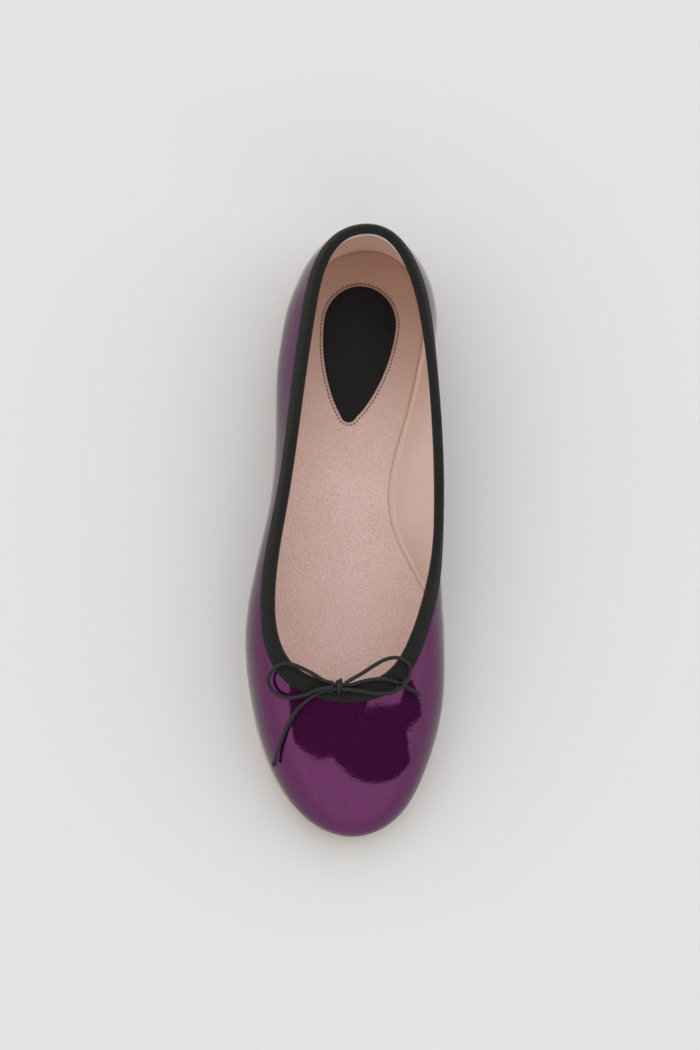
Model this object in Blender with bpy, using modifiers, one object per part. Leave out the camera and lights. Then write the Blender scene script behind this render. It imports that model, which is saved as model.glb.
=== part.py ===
"""Ballet flat, the right shoe of a pair.

A lasted upper stands on a thin outsole with a low heel. A folded ribbon binds the topline, an
insole with a heel pad lies inside, and a small bow of round cord is tied on the throat.

Metres, +Z up, +Y towards the heel, +X towards the inside of the foot. The origin is on the
floor under the middle of the shoe. Along is measured from the back of the heel towards the toe,
across from the line between heel and toe towards the inside of the foot.
"""

import math
from collections import namedtuple

import bmesh
import bpy
import numpy as np

OBJECT_NAME = "ballet_flat"

# Last and upper
LENGTH = 0.250
BALL_WIDTH = 0.080
BACK_HEIGHT = 0.0485
INSTEP_HEIGHT = 0.0380
UPPER_WALL = 0.0016
LASTING_MARGIN = 0.0060

# Sole and heel
SOLE_THICKNESS = 0.0030
SOLE_MARGIN = 0.0003
SOLE_EDGE = 0.0006
SEAT_HEIGHT = 0.0070
HEEL_LENGTH = 0.0560
HEEL_TAPER = 0.0012
BREAST_HOLLOW = 0.0025
LIFT_THICKNESS = 0.0020
TOE_SPRING = 0.0070
SHANK_BACK = 0.0600
TREAD_BACK = 0.1500
TREAD_FRONT = 0.1960

# Insole and heel pad
INSOLE_THICKNESS = 0.0020
INSOLE_FIT = 0.0004
PAD_BACK = 0.0202
PAD_LENGTH = 0.0586
PAD_WIDTH = 0.0300
PAD_THICKNESS = 0.0008
PAD_LEAN = math.radians(5.9)
PAD_OFFSET = 0.0003
PAD_BACK_SHARE = 0.55
PAD_TIP_POWER = 0.65

# Binding
RIBBON_THICKNESS = 0.0006
RIBBON_OUTSIDE = 0.0056
RIBBON_INSIDE = 0.0042

# Fit between pieces
GAP = 0.0003
MILLIMETRE = 0.001

# Fineness of the faceted solids, and of the lines that are measured before they are cut
STATIONS_PER_ROW = 3
WALL_STEPS = 11
CROSS_CUT = 0.010
BREAST_POINTS = 9
FINE_STATIONS = 480
FINE_STEPS = 49
FINE_RUN = 400
SHARP_ANGLE = math.radians(45)

# A row for each section of the wall, round the shoe from the heel back by the inside to the toe
# and home by the outside. The foot is where the wall meets the sole and the top is the topline.
# Along is a share of LENGTH and across a share of BALL_WIDTH. The top stands instep shares of
# INSTEP_HEIGHT above the sole, and back shares of the heel's extra height. Bulge is how the wall
# leaves the foot and crown how it reaches the topline: out is a share of BALL_WIDTH, up and drop
# are shares of the wall's own height.
Wall = namedtuple(
    "Wall",
    "foot_along foot_across top_along top_across instep back bulge_out bulge_up crown_out crown_drop",
)
WALLS = [
    # heel
    Wall(-0.003, 0.015, 0.024, -0.024, 1.00, 1.00, 0.062, 0.30, 0.070, 0.35),
    Wall(0.028, 0.256, 0.040, 0.110, 0.99, 0.96, 0.066, 0.30, 0.075, 0.33),
    Wall(0.123, 0.364, 0.097, 0.223, 0.94, 0.76, 0.090, 0.30, 0.095, 0.30),
    Wall(0.202, 0.323, 0.176, 0.291, 0.90, 0.42, 0.082, 0.30, 0.070, 0.30),
    # inside waist
    Wall(0.298, 0.269, 0.270, 0.342, 0.88, 0.12, 0.070, 0.28, 0.020, 0.35),
    Wall(0.417, 0.150, 0.376, 0.377, 0.89, 0.00, 0.100, 0.24, 0.015, 0.40),
    Wall(0.510, 0.212, 0.474, 0.388, 0.92, 0.00, 0.085, 0.26, 0.015, 0.38),
    # ball, vamp and toe, inside
    Wall(0.604, 0.437, 0.564, 0.376, 0.95, 0.00, 0.016, 0.32, 0.045, 0.28),
    Wall(0.700, 0.432, 0.638, 0.315, 0.97, 0.00, 0.050, 0.38, 0.115, 0.18),
    Wall(0.794, 0.440, 0.704, 0.243, 0.98, 0.00, 0.074, 0.42, 0.160, 0.14),
    Wall(0.889, 0.365, 0.745, 0.165, 0.99, 0.00, 0.066, 0.42, 0.210, 0.13),
    Wall(0.974, 0.246, 0.767, 0.060, 1.00, 0.00, 0.070, 0.42, 0.275, 0.14),
    Wall(1.012, 0.001, 0.774, -0.061, 1.00, 0.00, 0.075, 0.42, 0.320, 0.15),
    # toe, vamp and ball, outside
    Wall(0.979, -0.250, 0.769, -0.194, 1.00, 0.00, 0.072, 0.42, 0.275, 0.14),
    Wall(0.900, -0.420, 0.753, -0.341, 0.99, 0.00, 0.044, 0.42, 0.195, 0.13),
    Wall(0.807, -0.515, 0.711, -0.439, 0.98, 0.00, 0.036, 0.42, 0.135, 0.14),
    Wall(0.698, -0.564, 0.646, -0.475, 0.97, 0.00, 0.056, 0.38, 0.115, 0.18),
    Wall(0.602, -0.512, 0.557, -0.461, 0.95, 0.00, 0.070, 0.34, 0.090, 0.24),
    # outside waist
    Wall(0.492, -0.433, 0.463, -0.416, 0.91, 0.00, 0.076, 0.32, 0.050, 0.30),
    Wall(0.381, -0.402, 0.365, -0.382, 0.88, 0.02, 0.080, 0.30, 0.050, 0.32),
    Wall(0.280, -0.391, 0.260, -0.347, 0.88, 0.14, 0.128, 0.30, 0.092, 0.30),
    # heel
    Wall(0.198, -0.386, 0.174, -0.316, 0.90, 0.44, 0.132, 0.30, 0.095, 0.30),
    Wall(0.118, -0.345, 0.095, -0.286, 0.94, 0.78, 0.104, 0.30, 0.075, 0.30),
    Wall(0.036, -0.258, 0.041, -0.195, 0.99, 0.96, 0.068, 0.30, 0.070, 0.33),
]

# Bow of round cord, tied on the throat. The points are millimetres from the toe end of the
# topline, chosen along each run from the knot outwards.
CORD_DIAMETER = 0.0014
CORD_SPACING = 0.0034
BEAD_DIAMETER = 0.0022
KNOT_SIZE = (0.0042, 0.0056, 0.0034)
KNOT_PLACE = (-3.5, -0.8, 2.8)
BOW_RUNS = {
    "bow_left_loop": [
        (-6.1, 0.7, 3.1), (-8.9, 1.3, 2.7), (-13.5, 3.9, 2.3), (-18.2, 6.2, 2.3), (-22.9, 7.7, 2.5),
        (-26.4, 7.7, 2.2), (-29.6, 5.7, 0.7), (-31.4, 3.5, -1.9), (-31.5, 1.0, -3.5),
        (-29.5, -2.4, -3.9), (-25.9, -4.7, -2.8), (-21.4, -5.1, -1.5), (-16.9, -4.2, 0.1),
        (-12.5, -2.4, 2.5), (-8.9, -1.6, 3.3), (-6.0, -1.0, 3.6),
    ],
    "bow_right_loop": [
        (-0.8, 0.9, 3.3), (1.6, 2.4, 3.2), (5.7, 4.9, 3.2), (10.3, 8.1, 3.2), (14.8, 10.7, 3.2),
        (19.0, 11.7, 2.9), (22.8, 10.7, 2.3), (25.0, 8.0, 1.0), (25.0, 5.3, 0.6), (23.1, 1.5, 1.0),
        (20.8, -0.7, 0.8), (16.6, -2.5, 1.2), (12.0, -2.8, 1.5), (5.1, -2.1, 2.1), (-0.8, -1.6, 3.2),
    ],
    "bow_left_end": [
        (-5.7, -2.3, 2.0), (-8.7, -2.2, 1.7), (-12.3, -3.6, 0.9), (-16.2, -6.4, -1.2),
        (-19.6, -9.9, -3.4), (-22.5, -14.7, -6.2), (-24.7, -20.3, -9.9), (-26.4, -25.4, -14.1),
        (-27.1, -29.2, -17.8),
    ],
    "bow_right_end": [
        (-0.8, -0.5, 1.9), (2.3, 0.5, 2.0), (7.3, 2.1, 2.1), (13.3, 3.0, 2.0), (18.0, 2.5, 1.7),
        (22.4, 1.1, -0.7), (25.8, -0.2, -2.2), (28.1, -1.3, -3.3),
    ],
}
BEADED_RUNS = {"bow_left_end": "bow_left_bead", "bow_right_end": "bow_right_bead"}

FINISHES = {
    # colour as linear red, green and blue, then roughness
    "patent_leather": ((0.090, 0.030, 0.080), 0.06),
    "ribbon": ((0.012, 0.012, 0.014), 0.75),
    "lining_leather": ((0.480, 0.330, 0.270), 0.60),
    "pad_leather": ((0.014, 0.013, 0.013), 0.50),
    "sole_leather": ((0.420, 0.300, 0.200), 0.65),
    "heel_board": ((0.300, 0.200, 0.130), 0.60),
    "lift_rubber": ((0.020, 0.019, 0.018), 0.80),
    "cord": ((0.012, 0.012, 0.014), 0.60),
}


def column(name):
    """Values of one column of the wall table."""
    return np.array([getattr(wall, name) for wall in WALLS])


def closed_curve(values, count):
    """Smooth closed curve that the rows steer, as a uniform cubic B-spline, at count stations."""
    place = np.arange(count) * len(values) / count
    row = place.astype(int)
    t = (place - row)[:, None]
    v = values.reshape(len(values), -1)
    before, here, after, beyond = (v[(row + step) % len(v)] for step in (-1, 0, 1, 2))
    curve = (
        (1 - t) ** 3 * before
        + (3 * t**3 - 6 * t**2 + 4) * here
        + (-3 * t**3 + 3 * t**2 + 3 * t + 1) * after
        + t**3 * beyond
    ) / 6
    return curve.reshape((count,) + values.shape[1:])


def smoothstep(share):
    """Ease from 0 to 1."""
    share = np.clip(share, 0.0, 1.0)
    return share * share * (3 - 2 * share)


def rise(along):
    """Height of the outsole's underside: heel seat, arch, flat tread and toe spring."""
    arch = SEAT_HEIGHT * smoothstep((TREAD_BACK - along) / (TREAD_BACK - SHANK_BACK))
    spring = TOE_SPRING * (np.clip(along - TREAD_FRONT, 0, None) / (LENGTH - TREAD_FRONT)) ** 2
    return arch + spring


def outward(line):
    """Level unit vectors that point out of a closed line of along, across points."""
    tangent = np.roll(line, -1, axis=0) - np.roll(line, 1, axis=0)
    normal = np.stack([-tangent[:, 1], tangent[:, 0]], axis=1)
    normal /= np.linalg.norm(normal, axis=1)[:, None]
    area = np.sum(line[:, 0] * np.roll(line[:, 1], -1) - line[:, 1] * np.roll(line[:, 0], -1))
    return normal * (-np.sign(area))


def foot_line(count):
    """Closed line where the upper meets the sole."""
    share = np.stack([column("foot_along") * LENGTH, column("foot_across") * BALL_WIDTH], axis=1)
    return closed_curve(share, count)


def wall_frame(count):
    """Four control points of the wall's curve at each station: along, across, height."""
    foot = foot_line(count)
    top = closed_curve(
        np.stack([column("top_along") * LENGTH, column("top_across") * BALL_WIDTH], axis=1), count
    )
    extra = BACK_HEIGHT - INSTEP_HEIGHT
    stand = closed_curve(column("instep") * INSTEP_HEIGHT + column("back") * extra, count)
    bulge_out = closed_curve(column("bulge_out") * BALL_WIDTH, count)[:, None]
    crown_out = closed_curve(column("crown_out") * BALL_WIDTH, count)[:, None]
    low = rise(foot[:, 0]) + SOLE_THICKNESS + GAP
    high = rise(top[:, 0]) + SOLE_THICKNESS + GAP + stand
    height = high - low
    bulge_up = low + closed_curve(column("bulge_up"), count) * height
    crown_low = high - closed_curve(column("crown_drop"), count) * height
    bulge = foot + outward(foot) * bulge_out
    crown = top + outward(top) * crown_out
    return [
        np.column_stack([foot, low]),
        np.column_stack([bulge, bulge_up]),
        np.column_stack([crown, crown_low]),
        np.column_stack([top, high]),
    ]


def wall_points(count, steps):
    """Grid of wall points: a row of stations for each step from the foot to the topline."""
    foot, bulge, crown, top = wall_frame(count)
    rows = []
    for t in np.linspace(0, 1, steps):
        rows.append(
            (1 - t) ** 3 * foot + 3 * (1 - t) ** 2 * t * bulge + 3 * (1 - t) * t**2 * crown + t**3 * top
        )
    return np.array(rows)


def wall_normals(grid):
    """Unit vectors out of the wall at each grid point."""
    round_shoe = np.roll(grid, -1, axis=1) - np.roll(grid, 1, axis=1)
    up_wall = np.gradient(grid, axis=0)
    normal = np.cross(up_wall, round_shoe)
    normal /= np.linalg.norm(normal, axis=2)[:, :, None]
    middle = grid[:, :, :2].mean(axis=(0, 1))
    outside = np.sum(normal[0, :, :2] * (grid[0, :, :2] - middle))
    return normal * np.sign(outside)


FINE_WALL = wall_points(FINE_STATIONS, FINE_STEPS)
MID_ACROSS = (FINE_WALL[:, :, 1].min() + FINE_WALL[:, :, 1].max()) / 2
MID_ALONG = (FINE_WALL[:, :, 0].min() + FINE_WALL[:, :, 0].max()) / 2


def to_frame(points):
    """Along, across, height to the object's x, y, z."""
    points = np.asarray(points)
    return np.stack(
        [points[..., 1] - MID_ACROSS, MID_ALONG - points[..., 0], points[..., 2]], axis=-1
    )


def clear_scene():
    """Remove every object that the scene starts with."""
    for item in list(bpy.data.objects):
        bpy.data.objects.remove(item, do_unlink=True)


def make_material(name):
    """Principled material with the finish's colour and roughness."""
    colour, roughness = FINISHES[name]
    material = bpy.data.materials.new(name)
    material.use_nodes = True
    shader = material.node_tree.nodes["Principled BSDF"]
    shader.inputs["Base Color"].default_value = (*colour, 1.0)
    shader.inputs["Roughness"].default_value = roughness
    shader.inputs["Metallic"].default_value = 0.0
    return material


def add_object(name, data, finish, collection):
    """Link an object that holds the data, with its own material."""
    item = bpy.data.objects.new(name, data)
    data.materials.append(make_material(finish))
    collection.objects.link(item)
    return item


def solid_mesh(name, work):
    """Mesh of a closed solid, with its faces turned outwards."""
    bmesh.ops.recalc_face_normals(work, faces=work.faces[:])
    if work.calc_volume(signed=True) < 0:
        bmesh.ops.reverse_faces(work, faces=work.faces[:])
    return mesh_from(name, work)


def mesh_from(name, work):
    """Mesh from a bmesh, shaded smooth but for its edges."""
    mesh = bpy.data.meshes.new(name)
    work.to_mesh(mesh)
    work.free()
    mesh.shade_smooth()
    mesh.set_sharp_from_angle(angle=SHARP_ANGLE)
    return mesh


def ring_faces(work, rings, closed):
    """Quads between neighbouring closed rings; closed joins the last ring to the first."""
    pairs = list(zip(rings, rings[1:]))
    if closed:
        pairs.append((rings[-1], rings[0]))
    for low, high in pairs:
        for i in range(len(low)):
            j = (i + 1) % len(low)
            work.faces.new((low[i], low[j], high[j], high[i]))


def add_rings(work, rings):
    """Vertices of each ring of frame points."""
    return [[work.verts.new(point) for point in ring] for ring in rings]


def stack(name, layers, bend):
    """Closed solid through outlines at rising heights, cut across and bent to the sole's rise."""
    work = bmesh.new()
    flat = [np.column_stack([outline, np.full(len(outline), height)]) for outline, height in layers]
    rings = add_rings(work, flat)
    ring_faces(work, rings, closed=False)
    work.faces.new(rings[0])
    work.faces.new(rings[-1])
    if bend:
        for cut in np.arange(CROSS_CUT, LENGTH, CROSS_CUT):
            everything = work.verts[:] + work.edges[:] + work.faces[:]
            bmesh.ops.bisect_plane(
                work, geom=everything, dist=1e-6, plane_co=(cut, 0, 0), plane_no=(1, 0, 0)
            )
        for vertex in work.verts:
            vertex.co.z += float(rise(vertex.co.x))
    for vertex in work.verts:
        vertex.co = to_frame(np.array(vertex.co)).tolist()
    return solid_mesh(name, work)


def inset(outline, amount):
    """The outline moved inwards."""
    return outline - outward(outline) * amount


def heel_outline(outline):
    """Back part of the sole's outline, closed by a slightly hollow breast."""
    half = len(outline) // 2
    order = np.roll(outline, half, axis=0)
    back = order[order[:, 0] < HEEL_LENGTH]
    inside, outside = outline[:half], order[:half][::-1]
    start = np.interp(HEEL_LENGTH, inside[:, 0], inside[:, 1])
    end = np.interp(HEEL_LENGTH, outside[:, 0], outside[:, 1])
    share = np.linspace(0, 1, BREAST_POINTS)
    breast_across = start + (end - start) * share
    breast_along = HEEL_LENGTH - BREAST_HOLLOW * 4 * share * (1 - share)
    return np.vstack([back, np.column_stack([breast_along, breast_across])])


def make_upper(collection, stations):
    """Upper: the lasted wall with its margin turned in under the insole, as one hollow shell."""
    grid = wall_points(stations, WALL_STEPS)
    foot = grid[0][:, :2]
    rings = []
    for share in (1.0, 0.5):
        turned = inset(foot, LASTING_MARGIN * share)
        level = rise(turned[:, 0]) + SOLE_THICKNESS + GAP
        rings.append(np.column_stack([turned, level]))
    rings.extend(grid)
    work = bmesh.new()
    ring_faces(work, add_rings(work, [to_frame(ring) for ring in rings]), closed=False)
    bmesh.ops.recalc_face_normals(work, faces=work.faces[:])
    upper = add_object("upper", mesh_from("upper", work), "patent_leather", collection)
    wall = upper.modifiers.new("wall", "SOLIDIFY")
    wall.thickness = UPPER_WALL
    wall.offset = -1.0
    wall.use_even_offset = True
    return upper


def make_binding(collection, stations):
    """Topline binding: a ribbon folded over the collar's edge."""
    skip = FINE_STATIONS // stations
    normals = wall_normals(FINE_WALL)[:, ::skip]
    grid = FINE_WALL[:, ::skip]
    steps = np.linalg.norm(np.diff(grid, axis=0), axis=2)
    depth = np.vstack([np.cumsum(steps[::-1], axis=0)[::-1], np.zeros(grid.shape[1])])
    edge, over = grid[-1], grid[-1] - grid[-2]
    over /= np.linalg.norm(over, axis=1)[:, None]
    near, far = GAP, GAP + RIBBON_THICKNESS

    def at(down, out):
        """Points at a depth below the topline and a distance out of the wall."""
        place = np.empty_like(edge)
        for i in range(len(edge)):
            for axis in range(3):
                line = grid[:, i, axis] + normals[:, i, axis] * out
                place[i, axis] = np.interp(down, depth[::-1, i], line[::-1])
        return place

    inner_near, inner_far = -UPPER_WALL - near, -UPPER_WALL - far
    rings = [
        at(RIBBON_OUTSIDE, near),
        at(RIBBON_OUTSIDE, far),
        at(RIBBON_OUTSIDE / 2, far),
        at(0, far),
        at(0, -near) + over * far,
        at(0, near - UPPER_WALL) + over * far,
        at(0, inner_far),
        at(RIBBON_INSIDE, inner_far),
        at(RIBBON_INSIDE, inner_near),
        at(0, inner_near) + over * near,
        at(0, near) + over * near,
        at(RIBBON_OUTSIDE / 2, near),
    ]
    work = bmesh.new()
    ring_faces(work, add_rings(work, [to_frame(ring) for ring in rings]), closed=True)
    return add_object("topline_binding", solid_mesh("topline_binding", work), "ribbon", collection)


def make_sole(collection, stations):
    """Outsole, heel and lift."""
    outline = inset(foot_line(stations), -SOLE_MARGIN)
    layers = [
        (inset(outline, SOLE_EDGE), 0.0),
        (outline, SOLE_EDGE),
        (outline, SOLE_THICKNESS),
    ]
    add_object("outsole", stack("outsole", layers, bend=True), "sole_leather", collection)

    heel_top = heel_outline(inset(outline, SOLE_EDGE))
    heel_low = inset(heel_top, HEEL_TAPER)
    lift_top = LIFT_THICKNESS + GAP
    layers = [(heel_low, lift_top), (heel_top, SEAT_HEIGHT - GAP)]
    add_object("heel", stack("heel", layers, bend=False), "heel_board", collection)
    layers = [(heel_low, 0.0), (heel_low, LIFT_THICKNESS)]
    add_object("heel_lift", stack("heel_lift", layers, bend=False), "lift_rubber", collection)


def insole_top():
    """Height of the insole's upper face above the outsole's underside."""
    return SOLE_THICKNESS + UPPER_WALL + 2 * GAP + INSOLE_THICKNESS


def make_insole(collection, stations):
    """Insole: its rim lies on the turned-in margin and its middle reaches down to the outsole."""
    foot = foot_line(stations)
    rim = inset(foot, UPPER_WALL + INSOLE_FIT)
    middle = inset(foot, LASTING_MARGIN + UPPER_WALL)
    step = SOLE_THICKNESS + UPPER_WALL + 2 * GAP
    layers = [
        (middle, SOLE_THICKNESS + GAP),
        (middle, step),
        (rim, step),
        (rim, insole_top()),
    ]
    add_object("insole", stack("insole", layers, bend=True), "lining_leather", collection)


def pad_outline():
    """Teardrop, round at the back and pointed towards the toe."""
    back_part = PAD_WIDTH * PAD_BACK_SHARE
    turn = np.linspace(0, math.pi / 2, 10)
    front = np.linspace(0, 1, 12)[1:]
    down = np.concatenate([back_part * (1 - np.cos(turn)), back_part + (PAD_LENGTH - back_part) * front])
    narrowing = np.cos(front * math.pi / 2) ** PAD_TIP_POWER
    half = PAD_WIDTH / 2 * np.concatenate([np.sin(turn), narrowing])
    side = np.column_stack([down, half])
    other = np.column_stack([down, -half])[1:-1][::-1]
    line = np.vstack([side, other])
    cos, sin = math.cos(PAD_LEAN), math.sin(PAD_LEAN)
    along = PAD_BACK + line[:, 0] * cos + line[:, 1] * sin
    across = PAD_OFFSET - line[:, 0] * sin + line[:, 1] * cos
    return np.column_stack([along, across])


def make_pad(collection):
    """Heel pad on the insole."""
    outline = pad_outline()
    low = insole_top() + GAP
    layers = [(outline, low), (outline, low + PAD_THICKNESS)]
    add_object("heel_pad", stack("heel_pad", layers, bend=True), "pad_leather", collection)


def throat_point():
    """Toe end of the topline, in the object's frame."""
    top = FINE_WALL[-1]
    return to_frame(top[np.argmax(top[:, 0])])


def smooth_run(points, spacing):
    """Points at an even spacing along a smooth curve through the chosen ones."""
    points = throat_point() + np.array(points) * MILLIMETRE
    place = np.concatenate([[0], np.cumsum(np.linalg.norm(np.diff(points, axis=0), axis=1))])
    slope = np.gradient(points, place, axis=0)
    fine = np.linspace(0, place[-1], FINE_RUN)
    i = np.clip(np.searchsorted(place, fine, side="right") - 1, 0, len(place) - 2)
    span = (place[i + 1] - place[i])[:, None]
    t = ((fine - place[i])[:, None]) / span
    curve = (
        (2 * t**3 - 3 * t**2 + 1) * points[i]
        + (t**3 - 2 * t**2 + t) * span * slope[i]
        + (3 * t**2 - 2 * t**3) * points[i + 1]
        + (t**3 - t**2) * span * slope[i + 1]
    )
    length = np.concatenate([[0], np.cumsum(np.linalg.norm(np.diff(curve, axis=0), axis=1))])
    even = np.linspace(0, length[-1], max(2, round(length[-1] / spacing) + 1))
    return np.stack([np.interp(even, length, curve[:, axis]) for axis in range(3)], axis=1)


def make_cord(name, line, collection):
    """Round cord along a line, as a curve with filled caps."""
    curve = bpy.data.curves.new(name, "CURVE")
    curve.dimensions = "3D"
    curve.bevel_depth = CORD_DIAMETER / 2
    curve.bevel_resolution = 2
    curve.use_fill_caps = True
    spline = curve.splines.new("POLY")
    spline.points.add(len(line) - 1)
    for point, place in zip(spline.points, line):
        point.co = (*place, 1.0)
    return add_object(name, curve, "cord", collection)


def make_ball(name, centre, size, collection):
    """Rounded body of the given size."""
    work = bmesh.new()
    bmesh.ops.create_uvsphere(work, u_segments=14, v_segments=9, radius=0.5)
    for vertex in work.verts:
        for axis in range(3):
            vertex.co[axis] = vertex.co[axis] * size[axis] + centre[axis]
    return add_object(name, solid_mesh(name, work), "cord", collection)


def make_bow(collection):
    """Knot, two loops and two beaded ends."""
    knot = throat_point() + np.array(KNOT_PLACE) * MILLIMETRE
    make_ball("bow_knot", knot, KNOT_SIZE, collection)
    for name, points in BOW_RUNS.items():
        line = smooth_run(points, CORD_SPACING)
        make_cord(name, line, collection)
        if name in BEADED_RUNS:
            heading = line[-1] - line[-2]
            heading /= np.linalg.norm(heading)
            centre = line[-1] + heading * (GAP + BEAD_DIAMETER / 2)
            make_ball(BEADED_RUNS[name], centre, (BEAD_DIAMETER,) * 3, collection)


def main():
    """Build the shoe."""
    clear_scene()
    collection = bpy.data.collections.new(OBJECT_NAME)
    bpy.context.scene.collection.children.link(collection)
    stations = STATIONS_PER_ROW * len(WALLS)
    make_sole(collection, stations)
    make_upper(collection, stations)
    make_insole(collection, stations)
    make_binding(collection, stations)
    make_pad(collection)
    make_bow(collection)


main()
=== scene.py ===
"""Looks of a ballet flat, the right shoe of a pair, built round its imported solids.

A glossy purple upper with a grosgrain topline, a leather lining, insole and heel pad, a thin
leather sole with a low stacked heel, and a bow of round black cord on the throat.

Metres, +Z up, +Y towards the heel, +X towards the inside of the foot. Along is measured from the
back of the heel towards the toe, across from the line between heel and toe towards the inside.
"""

import logging
import math
from collections.abc import Callable
from dataclasses import dataclass, field
from enum import Enum
from functools import partial

import bpy
import numpy as np
from mathutils import Matrix, Vector

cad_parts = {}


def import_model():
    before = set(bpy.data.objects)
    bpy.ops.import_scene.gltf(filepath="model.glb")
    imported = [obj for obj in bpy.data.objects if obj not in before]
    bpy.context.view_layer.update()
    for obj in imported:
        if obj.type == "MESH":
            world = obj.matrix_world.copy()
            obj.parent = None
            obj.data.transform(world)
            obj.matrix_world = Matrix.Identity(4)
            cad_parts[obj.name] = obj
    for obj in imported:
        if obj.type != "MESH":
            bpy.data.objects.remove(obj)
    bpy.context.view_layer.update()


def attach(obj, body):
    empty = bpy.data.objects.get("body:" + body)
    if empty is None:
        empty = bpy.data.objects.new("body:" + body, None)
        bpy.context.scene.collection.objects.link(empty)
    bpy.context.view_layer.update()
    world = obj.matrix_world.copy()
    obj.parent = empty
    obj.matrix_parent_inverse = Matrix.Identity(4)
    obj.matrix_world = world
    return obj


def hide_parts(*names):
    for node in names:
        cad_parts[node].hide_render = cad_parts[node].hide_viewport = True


LOG = logging.getLogger("ballet_flat")
MM = 0.001
TIP_REACH = 0.6
TIP_LEAST = 0.08
INNERMOST_RING = 0.985
SPINE_END = 0.4
BODY = "root"
Panel = tuple[tuple[float, float, float], ...]


class Slot(Enum):
    """Material slots of the record, one for each kind of piece."""

    UPPER = "upper"
    BINDING = "binding"
    INSOLE = "insole"
    HEEL_PAD = "heel_pad"
    OUTSOLE = "outsole"
    HEEL = "heel"
    LIFT = "lift"
    CORD = "cord"


class Side(Enum):
    """Sides of the foot, as the sign of across."""

    INSIDE = 1
    OUTSIDE = -1


def linear(colour: str) -> tuple[float, float, float, float]:
    """Turn an sRGB hex colour to linear red, green, blue and alpha.

    Args:
        colour: Six hex digits after a hash sign.

    Returns:
        Linear channels with an alpha of 1.
    """
    channels = [int(colour[place : place + 2], 16) / 255 for place in (1, 3, 5)]
    straight = [c / 12.92 if c <= 0.04045 else ((c + 0.055) / 1.055) ** 2.4 for c in channels]
    return (*straight, 1.0)


def per_size(size: float) -> float:
    """Texture scale at which one cell of a pattern has the given real size in millimetres."""
    return 1.0 / (size * MM)


def smoothstep(share: np.ndarray) -> np.ndarray:
    """Ease from 0 to 1."""
    share = np.clip(share, 0.0, 1.0)
    return share * share * (3 - 2 * share)


def feed(node: bpy.types.Node, sockets: dict) -> None:
    """Set a node's inputs, or link them.

    Args:
        node: Node that takes the values.
        sockets: Value, or output socket to link from, for each input by name or number.
    """
    for name, value in sockets.items():
        if isinstance(value, bpy.types.NodeSocket):
            node.id_data.links.new(value, node.inputs[name])
        else:
            node.inputs[name].default_value = value


def add_node(tree: bpy.types.NodeTree, kind: str, sockets: dict, **settings) -> bpy.types.Node:
    """Add a shader node with its settings, values and links.

    Args:
        tree: Node tree that takes the node.
        kind: Blender's type name of the node.
        sockets: Value, or output socket to link from, for each input by name or number.
        **settings: Properties of the node.

    Returns:
        The new node.
    """
    node = tree.nodes.new(kind)
    for name, value in settings.items():
        setattr(node, name, value)
    feed(node, sockets)
    return node


class Finish:
    """A surface finish that builds its material once."""

    title = "finish"

    def material(self) -> bpy.types.Material:
        """Return the finish's material, built on its first use."""
        found = bpy.data.materials.get(self.title)
        if found:
            return found
        material = bpy.data.materials.new(self.title)
        material.use_nodes = True
        tree = material.node_tree
        self.shade(tree, tree.nodes["Principled BSDF"])
        return material

    def shade(self, tree: bpy.types.NodeTree, shader: bpy.types.Node) -> None:
        """Fill the node tree round its Principled shader."""
        raise NotImplementedError


@dataclass(frozen=True)
class PearlPatent(Finish):
    """Patent leather: purple pearl film under a poured clear lacquer.

    The lacquer gives sharp mirror images with slightly ragged edges, from its orange peel. The
    pearl film gives a purple glow inside them and a fine sparkle.
    """

    title = "pearl_patent_leather"
    film_dark: str = "#400f38"
    film_light: str = "#762868"
    film_edge: str = "#70266a"
    metallic: float = 0.6
    film_roughness: float = 0.06
    lacquer_roughness: float = 0.006
    lacquer_ior: float = 1.39
    lacquer_weight: float = 0.8
    flake_size: float = 0.6
    flake_depth: float = 0.010
    peel_size: float = 1.3
    peel_stretch: float = 0.55
    peel_depth: float = 0.012
    ripple_size: float = 7.0
    ripple_depth: float = 0.030

    def shade(self, tree: bpy.types.NodeTree, shader: bpy.types.Node) -> None:
        """Film colour with flakes, and a lacquer with orange peel over it."""
        add = partial(add_node, tree)
        place = add("ShaderNodeTexCoord", {}).outputs["Object"]
        scale = (self.peel_stretch, 1.0, 1.0)
        stretched = add("ShaderNodeMapping", {"Vector": place, "Scale": scale}).outputs["Vector"]
        patterns = (
            (place, self.flake_size, 1.0), (stretched, self.peel_size, 2.0), (place, self.ripple_size, 0.0),
        )
        flakes, peel, ripple = (
            add("ShaderNodeTexNoise", {"Vector": at, "Scale": per_size(size), "Detail": detail}).outputs[0]
            for at, size, detail in patterns
        )
        tones = {0: flakes, 6: linear(self.film_dark), 7: linear(self.film_light)}
        film = add("ShaderNodeMix", tones, data_type="RGBA").outputs[2]
        normals = []
        depths = (self.ripple_depth, self.peel_depth, self.flake_depth)
        for height, depth in zip((ripple, peel, flakes), depths):
            relief = {"Height": height, "Distance": depth * MM, "Strength": 1.0}
            if normals:
                relief["Normal"] = normals[-1]
            normals.append(add("ShaderNodeBump", relief).outputs["Normal"])
        feed(shader, {
            "Base Color": film,
            "Normal": normals[2],
            "Coat Normal": normals[1],
            "Metallic": self.metallic,
            "Specular Tint": linear(self.film_edge),
            "Roughness": self.film_roughness,
            "Coat Weight": self.lacquer_weight,
            "Coat Roughness": self.lacquer_roughness,
            "Coat IOR": self.lacquer_ior,
        })


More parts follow.
